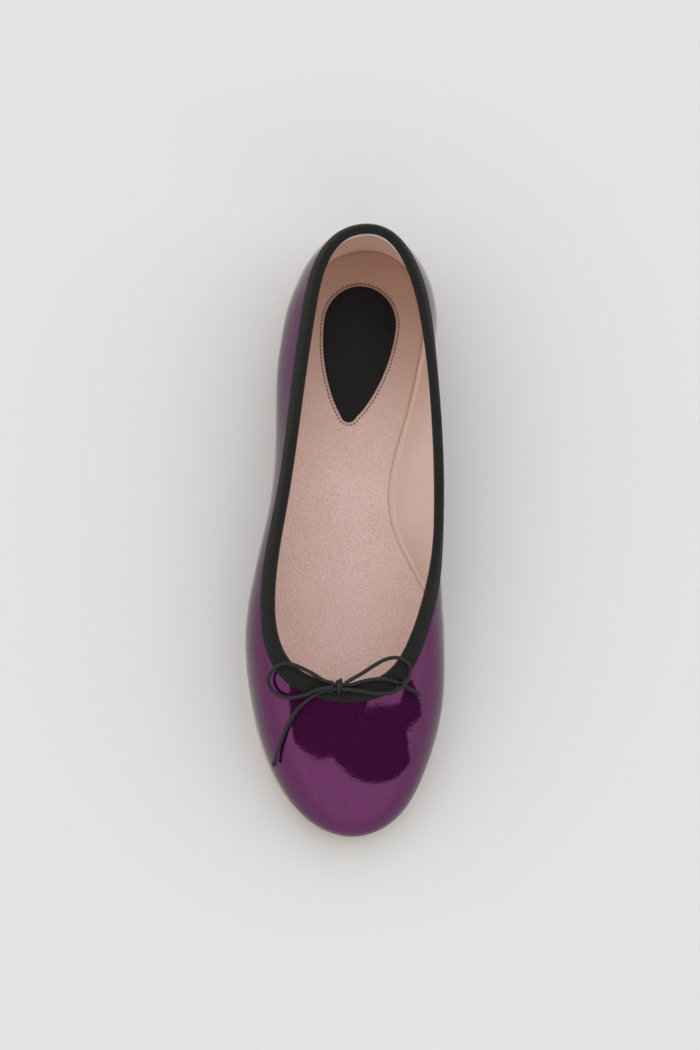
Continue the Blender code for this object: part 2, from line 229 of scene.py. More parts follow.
@dataclass(frozen=True)
class Grosgrain(Finish):
    """Woven grosgrain ribbon of black rayon: its warp runs over thick ribs, dull with a soft sheen."""

    title = "woven_grosgrain"
    yarn_dark: str = "#121211"
    yarn_light: str = "#272725"
    roughness: float = 0.65
    specular: float = 0.3
    sheen: float = 0.04
    sheen_roughness: float = 0.5
    rib_pitch: float = 1.10
    # Painted shade: near black in the valleys between the ribs, over this span of the rib wave
    valley_painted_shade: str = "#030303"
    valley_shade_range: tuple[float, float] = (-0.3, 0.8)
    warp_spacing: float = 0.30
    warp_depth: float = 0.05
    warp_strength: float = 0.7
    fuzz_size: float = 0.5

    def shade(self, tree: bpy.types.NodeTree, shader: bpy.types.Node) -> None:
        """Warp threads across the ribs, with a little fuzz in their colour and painted shade, near black, in
        the valleys between the ribs.
        """
        add = partial(add_node, tree)
        flat = add("ShaderNodeTexCoord", {}).outputs["UV"]
        places = add("ShaderNodeSeparateXYZ", {0: flat}).outputs
        waves = []
        for place, pitch, wave in (("Y", self.warp_spacing, "SINE"), ("X", self.rib_pitch, "COSINE")):
            turns = {0: places[place], 1: math.tau * per_size(pitch)}
            angle = add("ShaderNodeMath", turns, operation="MULTIPLY").outputs[0]
            waves.append(add("ShaderNodeMath", {0: angle}, operation=wave).outputs[0])
        warp, ribs = waves
        low, high = self.valley_shade_range
        valley_shade = add("ShaderNodeMapRange", {0: ribs, 1: low, 2: high, 3: 0.0, 4: 1.0}).outputs[0]
        place = add("ShaderNodeTexCoord", {}).outputs["Object"]
        noise = {"Vector": place, "Scale": per_size(self.fuzz_size), "Detail": 3.0}
        fuzz = add("ShaderNodeTexNoise", noise).outputs["Fac"]
        tones = {0: fuzz, 6: linear(self.yarn_dark), 7: linear(self.yarn_light)}
        yarn = add("ShaderNodeMix", tones, data_type="RGBA").outputs[2]
        relief = {"Height": warp, "Distance": self.warp_depth * MM, "Strength": self.warp_strength}
        woven = add("ShaderNodeBump", relief).outputs["Normal"]
        # Painted shade: the yarn darkens to near black in the valleys between the ribs
        shaded = {0: valley_shade, 6: yarn, 7: linear(self.valley_painted_shade)}
        rib_valley_shaded = add("ShaderNodeMix", shaded, data_type="RGBA").outputs[2]
        feed(shader, {
            "Base Color": rib_valley_shaded,
            "Normal": woven,
            "Roughness": self.roughness,
            "Specular IOR Level": self.specular,
            "Sheen Weight": self.sheen,
            "Sheen Roughness": self.sheen_roughness,
        })


@dataclass(frozen=True)
class GrainedLeather(Finish):
    """Dyed leather with a pebbled grain, which catches light on its small domes; these are also painted
    lighter and the hollows darker, as painted highlight and painted shade.

    The grain fades from the toe end towards the heel end, where the foot has pressed it flat or
    the maker has skived it. Towards the heel end the colour also turns to a heel colour, which on
    the sock is darker: partly the leather's own tone and partly painted shade from the heel walls.
    """

    title: str = "grained_leather"
    # Grain colours: painted shade in the hollows and painted highlight on the domes
    hollow: str = "#dbb8ad"
    dome: str = "#fae0d7"
    # Heel colour: on the sock darker, partly the leather's own tone and partly painted shade from the heel
    # walls
    heel_tone_and_shade: str = "#cfab9a"
    roughness: float = 0.55
    specular: float = 0.35
    grain_size: float = 0.80
    grain_depth: float = 0.32
    wander_cells: float = 3.0
    pebble_smoothness: float = 0.6
    pebble_range: tuple[float, float] = (0.1, 0.65)
    # Pebble middles lean to the dome's painted highlight, edges to the hollow's painted shade
    pebble_shading: tuple[float, float] = (0.62, 0.04)
    pore_size: float = 0.28
    pore_depth: float = 0.03
    pore_strength: float = 0.6
    cloud_size: float = 14.0
    cloud_share: float = 0.5
    grain_from: float = -0.095
    grain_to: float = 0.075
    grain_least: float = 0.12
    # Where the heel colour, partly painted shade, comes in along the foot
    heel_colour_from: float = 0.02
    heel_colour_to: float = 0.10

    def shade(self, tree: bpy.types.NodeTree, shader: bpy.types.Node) -> None:
        """Pebbles and pores, fading along the foot, over clouded dye with painted highlight on the domes and
        painted shade in the hollows.
        """
        add = partial(add_node, tree)
        place = add("ShaderNodeTexCoord", {}).outputs["Object"]
        along = add("ShaderNodeSeparateXYZ", {0: place}).outputs["Y"]
        noise = {"Vector": place, "Scale": per_size(self.grain_size * self.wander_cells), "Detail": 2.0}
        wander = add("ShaderNodeTexNoise", noise).outputs["Color"]
        shift = {0: wander, 1: (self.grain_size * MM,) * 3, 2: place}
        bent = add("ShaderNodeVectorMath", shift, operation="MULTIPLY_ADD").outputs["Vector"]
        cells = {"Vector": bent, "Scale": per_size(self.grain_size), "Smoothness": self.pebble_smoothness}
        pebbles = add("ShaderNodeTexVoronoi", cells, feature="SMOOTH_F1").outputs["Distance"]
        pores, clouds = (
            add("ShaderNodeTexNoise", {"Vector": place, "Scale": per_size(size), "Detail": detail}).outputs[0]
            for size, detail in ((self.pore_size, 2.0), (self.cloud_size, 3.0))
        )
        low, high = self.pebble_range
        first, last = self.pebble_shading
        # The middle map gives each pebble its painted highlight and painted shade
        strength, shade, heel_share = (
            add("ShaderNodeMapRange", dict(enumerate(values))).outputs[0]
            for values in (
                (along, self.grain_from, self.grain_to, 1.0, self.grain_least),
                (pebbles, low, high, first, last),
                # Share of the heel colour, partly painted shade, towards the heel
                (along, self.heel_colour_from, self.heel_colour_to, 0.0, 1.0),
            )
        )
        relief = {"Height": pebbles, "Distance": self.grain_depth * MM, "Strength": strength}
        pebbled = add("ShaderNodeBump", relief, invert=True).outputs["Normal"]
        relief = {"Height": pores, "Distance": self.pore_depth * MM, "Strength": self.pore_strength}
        porous = add("ShaderNodeBump", {**relief, "Normal": pebbled}).outputs["Normal"]
        # Random clouds of dye, plus the pebbles' painted highlight and painted shade
        clouded = {0: clouds, 1: self.cloud_share, 2: shade}
        mottle_and_pebble_shade = add("ShaderNodeMath", clouded, operation="MULTIPLY_ADD").outputs[0]
        tones = {0: mottle_and_pebble_shade, 6: linear(self.hollow), 7: linear(self.dome)}
        dyed_and_pebble_shaded = add("ShaderNodeMix", tones, data_type="RGBA").outputs[2]
        # Heel colour towards the heel: partly the leather's own tone, partly painted shade
        tones = {0: heel_share, 6: dyed_and_pebble_shaded, 7: linear(self.heel_tone_and_shade)}
        heel_toned_and_shaded = add("ShaderNodeMix", tones, data_type="RGBA").outputs[2]
        feed(shader, {
            "Base Color": heel_toned_and_shaded,
            "Normal": porous,
            "Roughness": self.roughness,
            "Specular IOR Level": self.specular,
        })


@dataclass(frozen=True)
class RolledFinish(Finish):
    """A material with one fine random grain: pressed leather, board, rubber, thread or wax cord."""

    title: str = "rolled_finish"
    dark: str = "#202020"
    light: str = "#303030"
    roughness: float = 0.6
    grain_size: float = 0.5
    grain_depth: float = 0.02
    grain_share: float = 0.5
    relief_strength: float = 0.8
    patch_size: float = 6.0
    patch_range: tuple[float, float] = (0.45, 1.05)
    specular: float = 0.5
    stretch: tuple[float, float, float] = (1.0, 1.0, 1.0)

    def shade(self, tree: bpy.types.NodeTree, shader: bpy.types.Node) -> None:
        """Fine grain in relief, with slow patches of colour."""
        add = partial(add_node, tree)
        place = add("ShaderNodeTexCoord", {}).outputs["Object"]
        drawn = add("ShaderNodeMapping", {"Vector": place, "Scale": self.stretch}).outputs["Vector"]
        grain, patches = (
            add("ShaderNodeTexNoise", {"Vector": drawn, "Scale": per_size(size), "Detail": detail}).outputs[0]
            for size, detail in ((self.grain_size, 3.0), (self.patch_size, 2.0))
        )
        joined = {0: grain, 1: self.grain_share, 2: patches}
        share = add("ShaderNodeMath", joined, operation="MULTIPLY_ADD").outputs[0]
        low, high = self.patch_range
        spread = add("ShaderNodeMapRange", {0: share, 1: low, 2: high, 3: 0.0, 4: 1.0}).outputs[0]
        tones = {0: spread, 6: linear(self.dark), 7: linear(self.light)}
        colour = add("ShaderNodeMix", tones, data_type="RGBA").outputs[2]
        relief = {"Height": grain, "Distance": self.grain_depth * MM, "Strength": self.relief_strength}
        feed(shader, {
            "Base Color": colour,
            "Normal": add("ShaderNodeBump", relief).outputs["Normal"],
            "Roughness": self.roughness,
            "Specular IOR Level": self.specular,
        })


# Goat lining and sock: vegetable tanned, dyed a pinkish beige, softly shiny on its pebbles, with painted
# highlight on their domes and painted shade in their hollows
# The sock's darker heel colour is partly its own tone and partly painted shade from the heel walls
INSOLE_LEATHER = GrainedLeather(title="pebbled_sock_leather")
LINING_LEATHER = GrainedLeather(
    title="smooth_lining_leather",
    hollow="#e2c6b9",
    dome="#f0dacf",
    heel_tone_and_shade="#efd2c0",
    grain_size=0.6,
    grain_depth=0.03,
    roughness=0.6,
)
# Raw cut edge of the lining: pale undyed fibre
RAW_EDGE = RolledFinish(
    title="raw_leather_edge", dark="#efe7dd", light="#fdf9f3", roughness=0.85, grain_size=0.4
)
# Pressed black leather of the heel pad: fine grain, half matt
PAD_LEATHER = RolledFinish(
    title="pressed_pad_leather", dark="#0c0c0c", light="#151515", roughness=0.5, grain_size=0.45, specular=0.2
)
# Sewing thread of the pad, brown and darker than the insole
PAD_THREAD = RolledFinish(title="pad_thread", dark="#4c2d23", light="#6e4738", roughness=0.8, grain_size=0.2)
# Bend leather of the outsole: firm, buffed, with a pale trimmed edge
SOLE_LEATHER = RolledFinish(
    title="buffed_sole_leather", dark="#b9966f", light="#d2b48f", grain_size=0.7, grain_depth=0.03
)
# Pressed leather board of the heel, trimmed and waxed
HEEL_BOARD = RolledFinish(
    title="stacked_heel_board", dark="#8f6a48", light="#b08a64", roughness=0.5, stretch=(1.0, 1.0, 6.0)
)
# Moulded rubber of the heel lift
LIFT_RUBBER = RolledFinish(
    title="moulded_rubber", dark="#171717", light="#232323", roughness=0.75, grain_size=0.4
)
# Round waxed cord of the bow: tight cover, soft gloss
WAXED_CORD = RolledFinish(
    title="waxed_round_cord",
    dark="#0c0d0d",
    light="#191a1a",
    roughness=0.42,
    grain_size=0.3,
    grain_depth=0.03,
    specular=0.4,
)


@dataclass(frozen=True)
class Section:
    """One section of the wall, from where it meets the sole to the topline.

    Along is a share of the last's length and across a share of its ball width. The top stands
    instep shares of the instep height above the sole, and back shares of the heel's extra height.
    Bulge is how the wall leaves the foot and crown how it reaches the topline: out is a share of
    the ball width, up and drop are shares of the wall's own height.
    """

    foot_along: float
    foot_across: float
    top_along: float
    top_across: float
    instep: float
    back: float
    bulge_out: float
    bulge_up: float
    crown_out: float
    crown_drop: float


SECTIONS = (
    # heel
    Section(-0.003, 0.015, 0.024, -0.024, 1.00, 1.00, 0.062, 0.30, 0.070, 0.35),
    Section(0.028, 0.256, 0.040, 0.110, 0.99, 0.96, 0.066, 0.30, 0.075, 0.33),
    Section(0.123, 0.364, 0.097, 0.223, 0.94, 0.76, 0.090, 0.30, 0.095, 0.30),
    Section(0.202, 0.323, 0.176, 0.291, 0.90, 0.42, 0.082, 0.30, 0.070, 0.30),
    # inside waist
    Section(0.298, 0.269, 0.270, 0.342, 0.88, 0.12, 0.070, 0.28, 0.020, 0.35),
    Section(0.417, 0.150, 0.376, 0.377, 0.89, 0.00, 0.100, 0.24, 0.015, 0.40),
    Section(0.510, 0.212, 0.474, 0.388, 0.92, 0.00, 0.085, 0.26, 0.015, 0.38),
    # ball, vamp and toe, inside
    Section(0.604, 0.437, 0.564, 0.376, 0.95, 0.00, 0.016, 0.32, 0.045, 0.28),
    Section(0.700, 0.432, 0.638, 0.315, 0.97, 0.00, 0.050, 0.38, 0.115, 0.18),
    Section(0.794, 0.440, 0.704, 0.243, 0.98, 0.00, 0.074, 0.42, 0.160, 0.14),
    Section(0.889, 0.365, 0.745, 0.165, 0.99, 0.00, 0.066, 0.42, 0.210, 0.13),
    Section(0.974, 0.246, 0.767, 0.060, 1.00, 0.00, 0.070, 0.42, 0.275, 0.14),
    Section(1.012, 0.001, 0.774, -0.061, 1.00, 0.00, 0.075, 0.42, 0.320, 0.15),
    # toe, vamp and ball, outside
    Section(0.979, -0.250, 0.769, -0.194, 1.00, 0.00, 0.072, 0.42, 0.275, 0.14),
    Section(0.900, -0.420, 0.753, -0.341, 0.99, 0.00, 0.044, 0.42, 0.195, 0.13),
    Section(0.807, -0.515, 0.711, -0.439, 0.98, 0.00, 0.036, 0.42, 0.135, 0.14),
    Section(0.698, -0.564, 0.646, -0.475, 0.97, 0.00, 0.056, 0.38, 0.115, 0.18),
    Section(0.602, -0.512, 0.557, -0.461, 0.95, 0.00, 0.070, 0.34, 0.090, 0.24),
    # outside waist
    Section(0.492, -0.433, 0.463, -0.416, 0.91, 0.00, 0.076, 0.32, 0.050, 0.30),
    Section(0.381, -0.402, 0.365, -0.382, 0.88, 0.02, 0.080, 0.30, 0.050, 0.32),
    Section(0.280, -0.391, 0.260, -0.347, 0.88, 0.14, 0.128, 0.30, 0.092, 0.30),
    # heel
    Section(0.198, -0.386, 0.174, -0.316, 0.90, 0.44, 0.132, 0.30, 0.095, 0.30),
    Section(0.118, -0.345, 0.095, -0.286, 0.94, 0.78, 0.104, 0.30, 0.075, 0.30),
    Section(0.036, -0.258, 0.041, -0.195, 0.99, 0.96, 0.068, 0.30, 0.070, 0.33),
)


def outward(line: np.ndarray) -> np.ndarray:
    """Level unit vectors that point out of a closed line of along, across points."""
    tangent = np.roll(line, -1, axis=0) - np.roll(line, 1, axis=0)
    normal = np.stack([-tangent[:, 1], tangent[:, 0]], axis=1)
    normal /= np.linalg.norm(normal, axis=1)[:, None]
    area = np.sum(line[:, 0] * np.roll(line[:, 1], -1) - line[:, 1] * np.roll(line[:, 0], -1))
    return normal * (-np.sign(area))


def inset(outline: np.ndarray, amount: float) -> np.ndarray:
    """The outline moved inwards by an amount."""
    return outline - outward(outline) * amount


def way_along(line: np.ndarray) -> np.ndarray:
    """Distance along a line at each of its points."""
    return np.concatenate([[0], np.cumsum(np.linalg.norm(np.diff(line, axis=0), axis=1))])


def points_at(line: np.ndarray, way: np.ndarray, at: np.ndarray) -> np.ndarray:
    """Points of a line at distances along it, with the way along it given."""
    return np.stack([np.interp(at, way, line[:, axis]) for axis in range(line.shape[1])], axis=1)


@dataclass
class Last:
    """The last that the shoe is made on, as smooth closed curves through the sections."""

    length: float = 0.250
    ball_width: float = 0.080
    back_height: float = 0.0485
    instep_height: float = 0.0380
    sole_thickness: float = 0.0030
    seat_height: float = 0.0070
    toe_spring: float = 0.0070
    shank_back: float = 0.0600
    tread_back: float = 0.1500
    tread_front: float = 0.1960
    gap: float = 0.0003
    fine_stations: int = 480
    fine_steps: int = 49
    middle: np.ndarray = field(init=False)

    def __post_init__(self) -> None:
        """Find the middle of the wall, which is the object's origin."""
        wall = self.wall(self.even_rows(self.fine_stations), np.linspace(0, 1, self.fine_steps))
        flat = wall[:, :, :2].reshape(-1, 2)
        self.middle = (flat.min(axis=0) + flat.max(axis=0)) / 2

    def even_rows(self, count: int) -> np.ndarray:
        """Stations at even shares of the table's rows."""
        return np.arange(count) * len(SECTIONS) / count

    def column(self, name: str) -> np.ndarray:
        """Values of one column of the table."""
        return np.array([getattr(section, name) for section in SECTIONS])

    def curve(self, values: np.ndarray, rows: np.ndarray) -> np.ndarray:
        """Closed uniform cubic B-spline that the rows steer.

        Args:
            values: A value, or several, for each row of the table.
            rows: Stations, as places among the rows.

        Returns:
            The curve's value at each station.
        """
        row = np.floor(rows).astype(int)
        t = (rows - row)[:, None]
        v = values.reshape(len(values), -1)
        before, here, after, beyond = (v[(row + step) % len(v)] for step in (-1, 0, 1, 2))
        curve = (
            (1 - t) ** 3 * before
            + (3 * t**3 - 6 * t**2 + 4) * here
            + (-3 * t**3 + 3 * t**2 + 3 * t + 1) * after
            + t**3 * beyond
        ) / 6
        return curve.reshape((len(rows),) + values.shape[1:])

    def rise(self, along: np.ndarray) -> np.ndarray:
        """Height of the outsole's underside: heel seat, arch, flat tread and toe spring."""
        arch = self.seat_height * smoothstep((self.tread_back - along) / (self.tread_back - self.shank_back))
        past = np.clip(along - self.tread_front, 0, None) / (self.length - self.tread_front)
        return arch + self.toe_spring * past**2

    def foot(self, rows: np.ndarray) -> np.ndarray:
        """Closed line of along, across points where the upper meets the sole."""
        ends = [self.column("foot_along") * self.length, self.column("foot_across") * self.ball_width]
        return self.curve(np.stack(ends, axis=1), rows)

    def wall(self, rows: np.ndarray, steps: np.ndarray) -> np.ndarray:
        """Outer face of the upper.

        Args:
            rows: Stations, as places among the rows.
            steps: Shares of the way from the foot to the topline.

        Returns:
            Along, across, height for each step and station.
        """
        foot = self.foot(rows)
        tops = [self.column("top_along") * self.length, self.column("top_across") * self.ball_width]
        top = self.curve(np.stack(tops, axis=1), rows)
        extra = self.back_height - self.instep_height
        stand = self.curve(self.column("instep") * self.instep_height + self.column("back") * extra, rows)
        low = self.rise(foot[:, 0]) + self.sole_thickness + self.gap
        high = self.rise(top[:, 0]) + self.sole_thickness + self.gap + stand
        height = high - low
        bulge = foot + outward(foot) * self.curve(self.column("bulge_out") * self.ball_width, rows)[:, None]
        crown = top + outward(top) * self.curve(self.column("crown_out") * self.ball_width, rows)[:, None]
        bulge_up = low + self.curve(self.column("bulge_up"), rows) * height
        crown_low = high - self.curve(self.column("crown_drop"), rows) * height
        frame = [
            np.column_stack([foot, low]),
            np.column_stack([bulge, bulge_up]),
            np.column_stack([crown, crown_low]),
            np.column_stack([top, high]),
        ]
        t = steps[:, None, None]
        return (
            (1 - t) ** 3 * frame[0]
            + 3 * (1 - t) ** 2 * t * frame[1]
            + 3 * (1 - t) * t**2 * frame[2]
            + t**3 * frame[3]
        )

    def normals(self, wall: np.ndarray) -> np.ndarray:
        """Unit vectors out of the wall at each of its points."""
        round_shoe = np.roll(wall, -1, axis=1) - np.roll(wall, 1, axis=1)
        normal = np.cross(np.gradient(wall, axis=0), round_shoe)
        normal /= np.linalg.norm(normal, axis=2)[:, :, None]
        away = wall[0, :, :2] - wall[:, :, :2].mean(axis=(0, 1))
        return normal * np.sign(np.sum(normal[0, :, :2] * away))

    def place(self, points: np.ndarray) -> np.ndarray:
        """Along, across, height to the object's x, y, z."""
        points = np.asarray(points)
        return np.stack(
            [points[..., 1] - self.middle[1], self.middle[0] - points[..., 0], points[..., 2]], axis=-1
        )

    def topline_rows(self, count: int) -> np.ndarray:
        """Stations at an even spacing along the topline, from the heel round."""
        fine = np.arange(self.fine_stations + 1) * len(SECTIONS) / self.fine_stations
        top = self.wall(fine, np.array([1.0]))[0]
        way = way_along(top)
        return np.interp(np.arange(count) / count * way[-1], way, fine)

    def throat(self) -> np.ndarray:
        """Toe end of the topline, in the object's frame."""
        top = self.wall(self.even_rows(self.fine_stations), np.array([1.0]))[0]
        return self.place(top[np.argmax(top[:, 0])])


@dataclass
class Collar:
    """Places near the topline, by depth below it and distance out of the wall."""

    last: Last
    rows: np.ndarray
    steps: int = 97

    def __post_init__(self) -> None:
        """Measure the wall downwards from the topline at each station."""
        wall = self.last.wall(self.rows, np.linspace(0, 1, self.steps))
        self.normals = self.last.normals(wall)[::-1]
        self.wall = wall[::-1]
        lengths = np.linalg.norm(np.diff(self.wall, axis=0), axis=2)
        self.depth = np.vstack([np.zeros(len(self.rows)), np.cumsum(lengths, axis=0)])
        over = self.wall[0] - self.wall[1]
        self.over = over / np.linalg.norm(over, axis=1)[:, None]

    def at(self, down: np.ndarray | float, out: np.ndarray | float, lift: float = 0.0) -> np.ndarray:
        """Points on the collar.

        Args:
            down: Depth below the topline, along the wall.
            out: Distance out of the wall's outer face.
            lift: Distance beyond the wall's edge, in line with it.

        Returns:
            Along, across, height at each station.
        """
        count = len(self.rows)
        down = np.broadcast_to(down, count)
        out = np.broadcast_to(out, count)
        index = np.clip((self.depth <= down).sum(axis=0) - 1, 0, self.steps - 2)
        station = np.arange(count)
        span = self.depth[index + 1, station] - self.depth[index, station]
        share = ((down - self.depth[index, station]) / span)[:, None]
        on = self.wall[index, station] * (1 - share) + self.wall[index + 1, station] * share
        normal = self.normals[index, station] * (1 - share) + self.normals[index + 1, station] * share
        return on + normal * out[:, None] + self.over * lift


def mesh_from_grid(
    name: str, grid: np.ndarray, wrap_rows: bool, wrap_columns: bool, flat: np.ndarray | None = None
) -> bpy.types.Mesh:
    """Smooth mesh of quads over a grid of points, with its faces pointing out.

    Args:
        name: Name of the mesh.
        grid: Points in rows and columns.
        wrap_rows: Join the last row to the first, else close both ends with a strip of faces.
        wrap_columns: Join the last column to the first.
        flat: Flat place of each point, in metres, with one row and column more where they wrap.

    Returns:
        The new mesh.
    """
    rows, columns = grid.shape[:2]
    row_pairs = rows if wrap_rows else rows - 1
    column_pairs = columns if wrap_columns else columns - 1
    r, c = np.meshgrid(np.arange(row_pairs), np.arange(column_pairs), indexing="ij")
    r, c = r.ravel(), c.ravel()
    corners = [(r, c), (r, c + 1), (r + 1, c + 1), (r + 1, c)]
    quads = np.stack([(a % rows) * columns + b % columns for a, b in corners], axis=1)
    points = grid.reshape(-1, 3)
    a, b, d = points[quads[:, 0]], points[quads[:, 1]], points[quads[:, 3]]
    e = points[quads[:, 2]]
    volume = np.sum(a * np.cross(b, e)) + np.sum(a * np.cross(e, d))
    turned = volume < 0
    faces = (quads[:, ::-1] if turned else quads).tolist()
    if not wrap_rows:
        low = list(range(columns))
        high = list(range((rows - 1) * columns, rows * columns))
        faces += strip_over(low if turned else low[::-1])
        faces += strip_over(high[::-1] if turned else high)
    mesh = bpy.data.meshes.new(name)
    mesh.from_pydata(points.tolist(), [], faces)
    if flat is not None:
        layer = mesh.uv_layers.new(name="flat")
        order = corners[::-1] if turned else corners
        places = np.stack([flat[a, b] for a, b in order], axis=1).reshape(-1, 2)
        whole = np.zeros((len(mesh.loops), 2))
        whole[: len(places)] = places
        layer.data.foreach_set("uv", whole.ravel())
    mesh.shade_smooth()
    mesh.validate()
    return mesh


def strip_over(ring: list[int]) -> list[list[int]]:
    """Faces over a closed ring of points, as a strip between its two halves."""
    last = len(ring) - 1
    steps = range(last // 2)
    return [list(dict.fromkeys([ring[i], ring[i + 1], ring[last - i - 1], ring[last - i]])) for i in steps]


def add_piece(
    name: str, mesh: bpy.types.Mesh, finish: Finish, replaced: tuple[str, ...] = ()
) -> bpy.types.Object:
    """Link a piece, dress it and make it ride on the shoe.

    Args:
        name: Name of the piece.
        mesh: Its mesh, in the object's frame.
        finish: Finish of its surface.
        replaced: Solids of the frame that the piece stands for.

    Returns:
        The new object.
    """
    piece = bpy.data.objects.new(name, mesh)
    mesh.materials.append(finish.material())
    bpy.context.scene.collection.objects.link(piece)
    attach(piece, BODY)
    if replaced:
        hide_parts(*replaced)
    LOG.info("%s: %d faces, %s", name, len(mesh.polygons), finish.title)
    return piece


def sweep(path: np.ndarray, radius: np.ndarray | float, sides: int, squash: float = 1.0) -> np.ndarray:
    """Rings of points round a path, without twist.

    Args:
        path: Points of the centreline.
        radius: Radius at each point, or one for all.
        sides: Points in a ring.
        squash: Height of a ring as a share of its width.

    Returns:
        Points for each place on the path and each side.
    """
    tangent = np.gradient(path, axis=0)
    tangent /= np.linalg.norm(tangent, axis=1)[:, None]
    up = np.array([0.0, 0.0, 1.0])
    across = np.cross(tangent[0], up)
    if np.linalg.norm(across) < 0.1:
        across = np.cross(tangent[0], [0.0, 1.0, 0.0])
    acrosses = []
    for direction in tangent:
        across = across - direction * (across @ direction)
        across /= np.linalg.norm(across)
        acrosses.append(across)
    acrosses = np.array(acrosses)
    ups = np.cross(acrosses, tangent)
    radius = np.broadcast_to(radius, len(path))[:, None, None]
    turn = np.linspace(0, math.tau, sides, endpoint=False)[None, :, None]
    ring = acrosses[:, None] * np.cos(turn) + ups[:, None] * np.sin(turn) * squash
    return path[:, None] + ring * radius


def tube_mesh(name: str, path: np.ndarray, radius: np.ndarray | float, sides: int) -> bpy.types.Mesh:
    """Closed tube along a path, with its ends rounded off.

    Args:
        name: Name of the mesh.
        path: Points of the centreline.
        radius: Radius at each point, or one for all.
        sides: Points in a ring.

    Returns:
        The new mesh.
    """
    radius = np.broadcast_to(radius, len(path)).astype(float)
    dome = np.linspace(0, math.pi / 2, 5)[1:]
    first = (path[0] - path[1]) / np.linalg.norm(path[0] - path[1])
    last = (path[-1] - path[-2]) / np.linalg.norm(path[-1] - path[-2])
    before = [path[0] + first * radius[0] * TIP_REACH * math.sin(a) for a in dome[::-1]]
    after = [path[-1] + last * radius[-1] * TIP_REACH * math.sin(a) for a in dome]
    thin = np.maximum(np.cos(dome), TIP_LEAST)
    whole = np.vstack([before, path, after])
    radii = np.concatenate([radius[0] * thin[::-1], radius, radius[-1] * thin])
    rings = sweep(whole, radii, sides)
    way = way_along(whole)
    girth = np.linspace(0, math.tau * radius.mean(), sides + 1)
    flat = np.stack(np.meshgrid(way, girth, indexing="ij"), axis=2)
    return mesh_from_grid(name, rings, wrap_rows=False, wrap_columns=True, flat=flat)


@dataclass(frozen=True)
class Dent:
    """A soft trough or ridge of the upper, pressed in or raised by the last and by the hand.

    Where it lies along the shoe and up the wall, and how far it reaches each way, are shares of
    the last's length. Its depth is a share of the wall's thickness, with a ridge below zero. Lean
    turns it forward as it rises.
    """

    side: Side
    along: float
    up: float
    reach_along: float
    reach_up: float
    depth: float
    lean: float = 0.0


DENTS = (
    # quarters, where the leather is drawn between counter and collar
    Dent(Side.OUTSIDE, 0.096, 0.120, 0.020, 0.064, 0.1375, 0.2),
    Dent(Side.OUTSIDE, 0.144, 0.104, 0.024, 0.080, -0.1250, 0.2),
    Dent(Side.OUTSIDE, 0.200, 0.096, 0.024, 0.064, 0.1625, 0.3),
    Dent(Side.OUTSIDE, 0.264, 0.080, 0.036, 0.072, -0.1000, 0.3),
    Dent(Side.INSIDE, 0.112, 0.120, 0.024, 0.064, 0.1250, 0.2),
    Dent(Side.INSIDE, 0.180, 0.104, 0.028, 0.072, -0.1125, 0.2),
    Dent(Side.INSIDE, 0.248, 0.080, 0.032, 0.064, 0.1375, 0.3),
    # waist, where the wall is pulled down to the narrow sole
    Dent(Side.INSIDE, 0.384, 0.072, 0.056, 0.048, 0.1875, -0.2),
    Dent(Side.INSIDE, 0.488, 0.064, 0.048, 0.040, 0.1375, 0.3),
    Dent(Side.OUTSIDE, 0.416, 0.072, 0.064, 0.048, 0.1375, 0.0),
    # flex line beside the throat
    Dent(Side.INSIDE, 0.632, 0.088, 0.020, 0.048, 0.1000, 0.7),
    Dent(Side.OUTSIDE, 0.600, 0.088, 0.024, 0.048, 0.1000, 0.7),
    Dent(Side.OUTSIDE, 0.664, 0.096, 0.020, 0.040, 0.0625, 0.7),
)


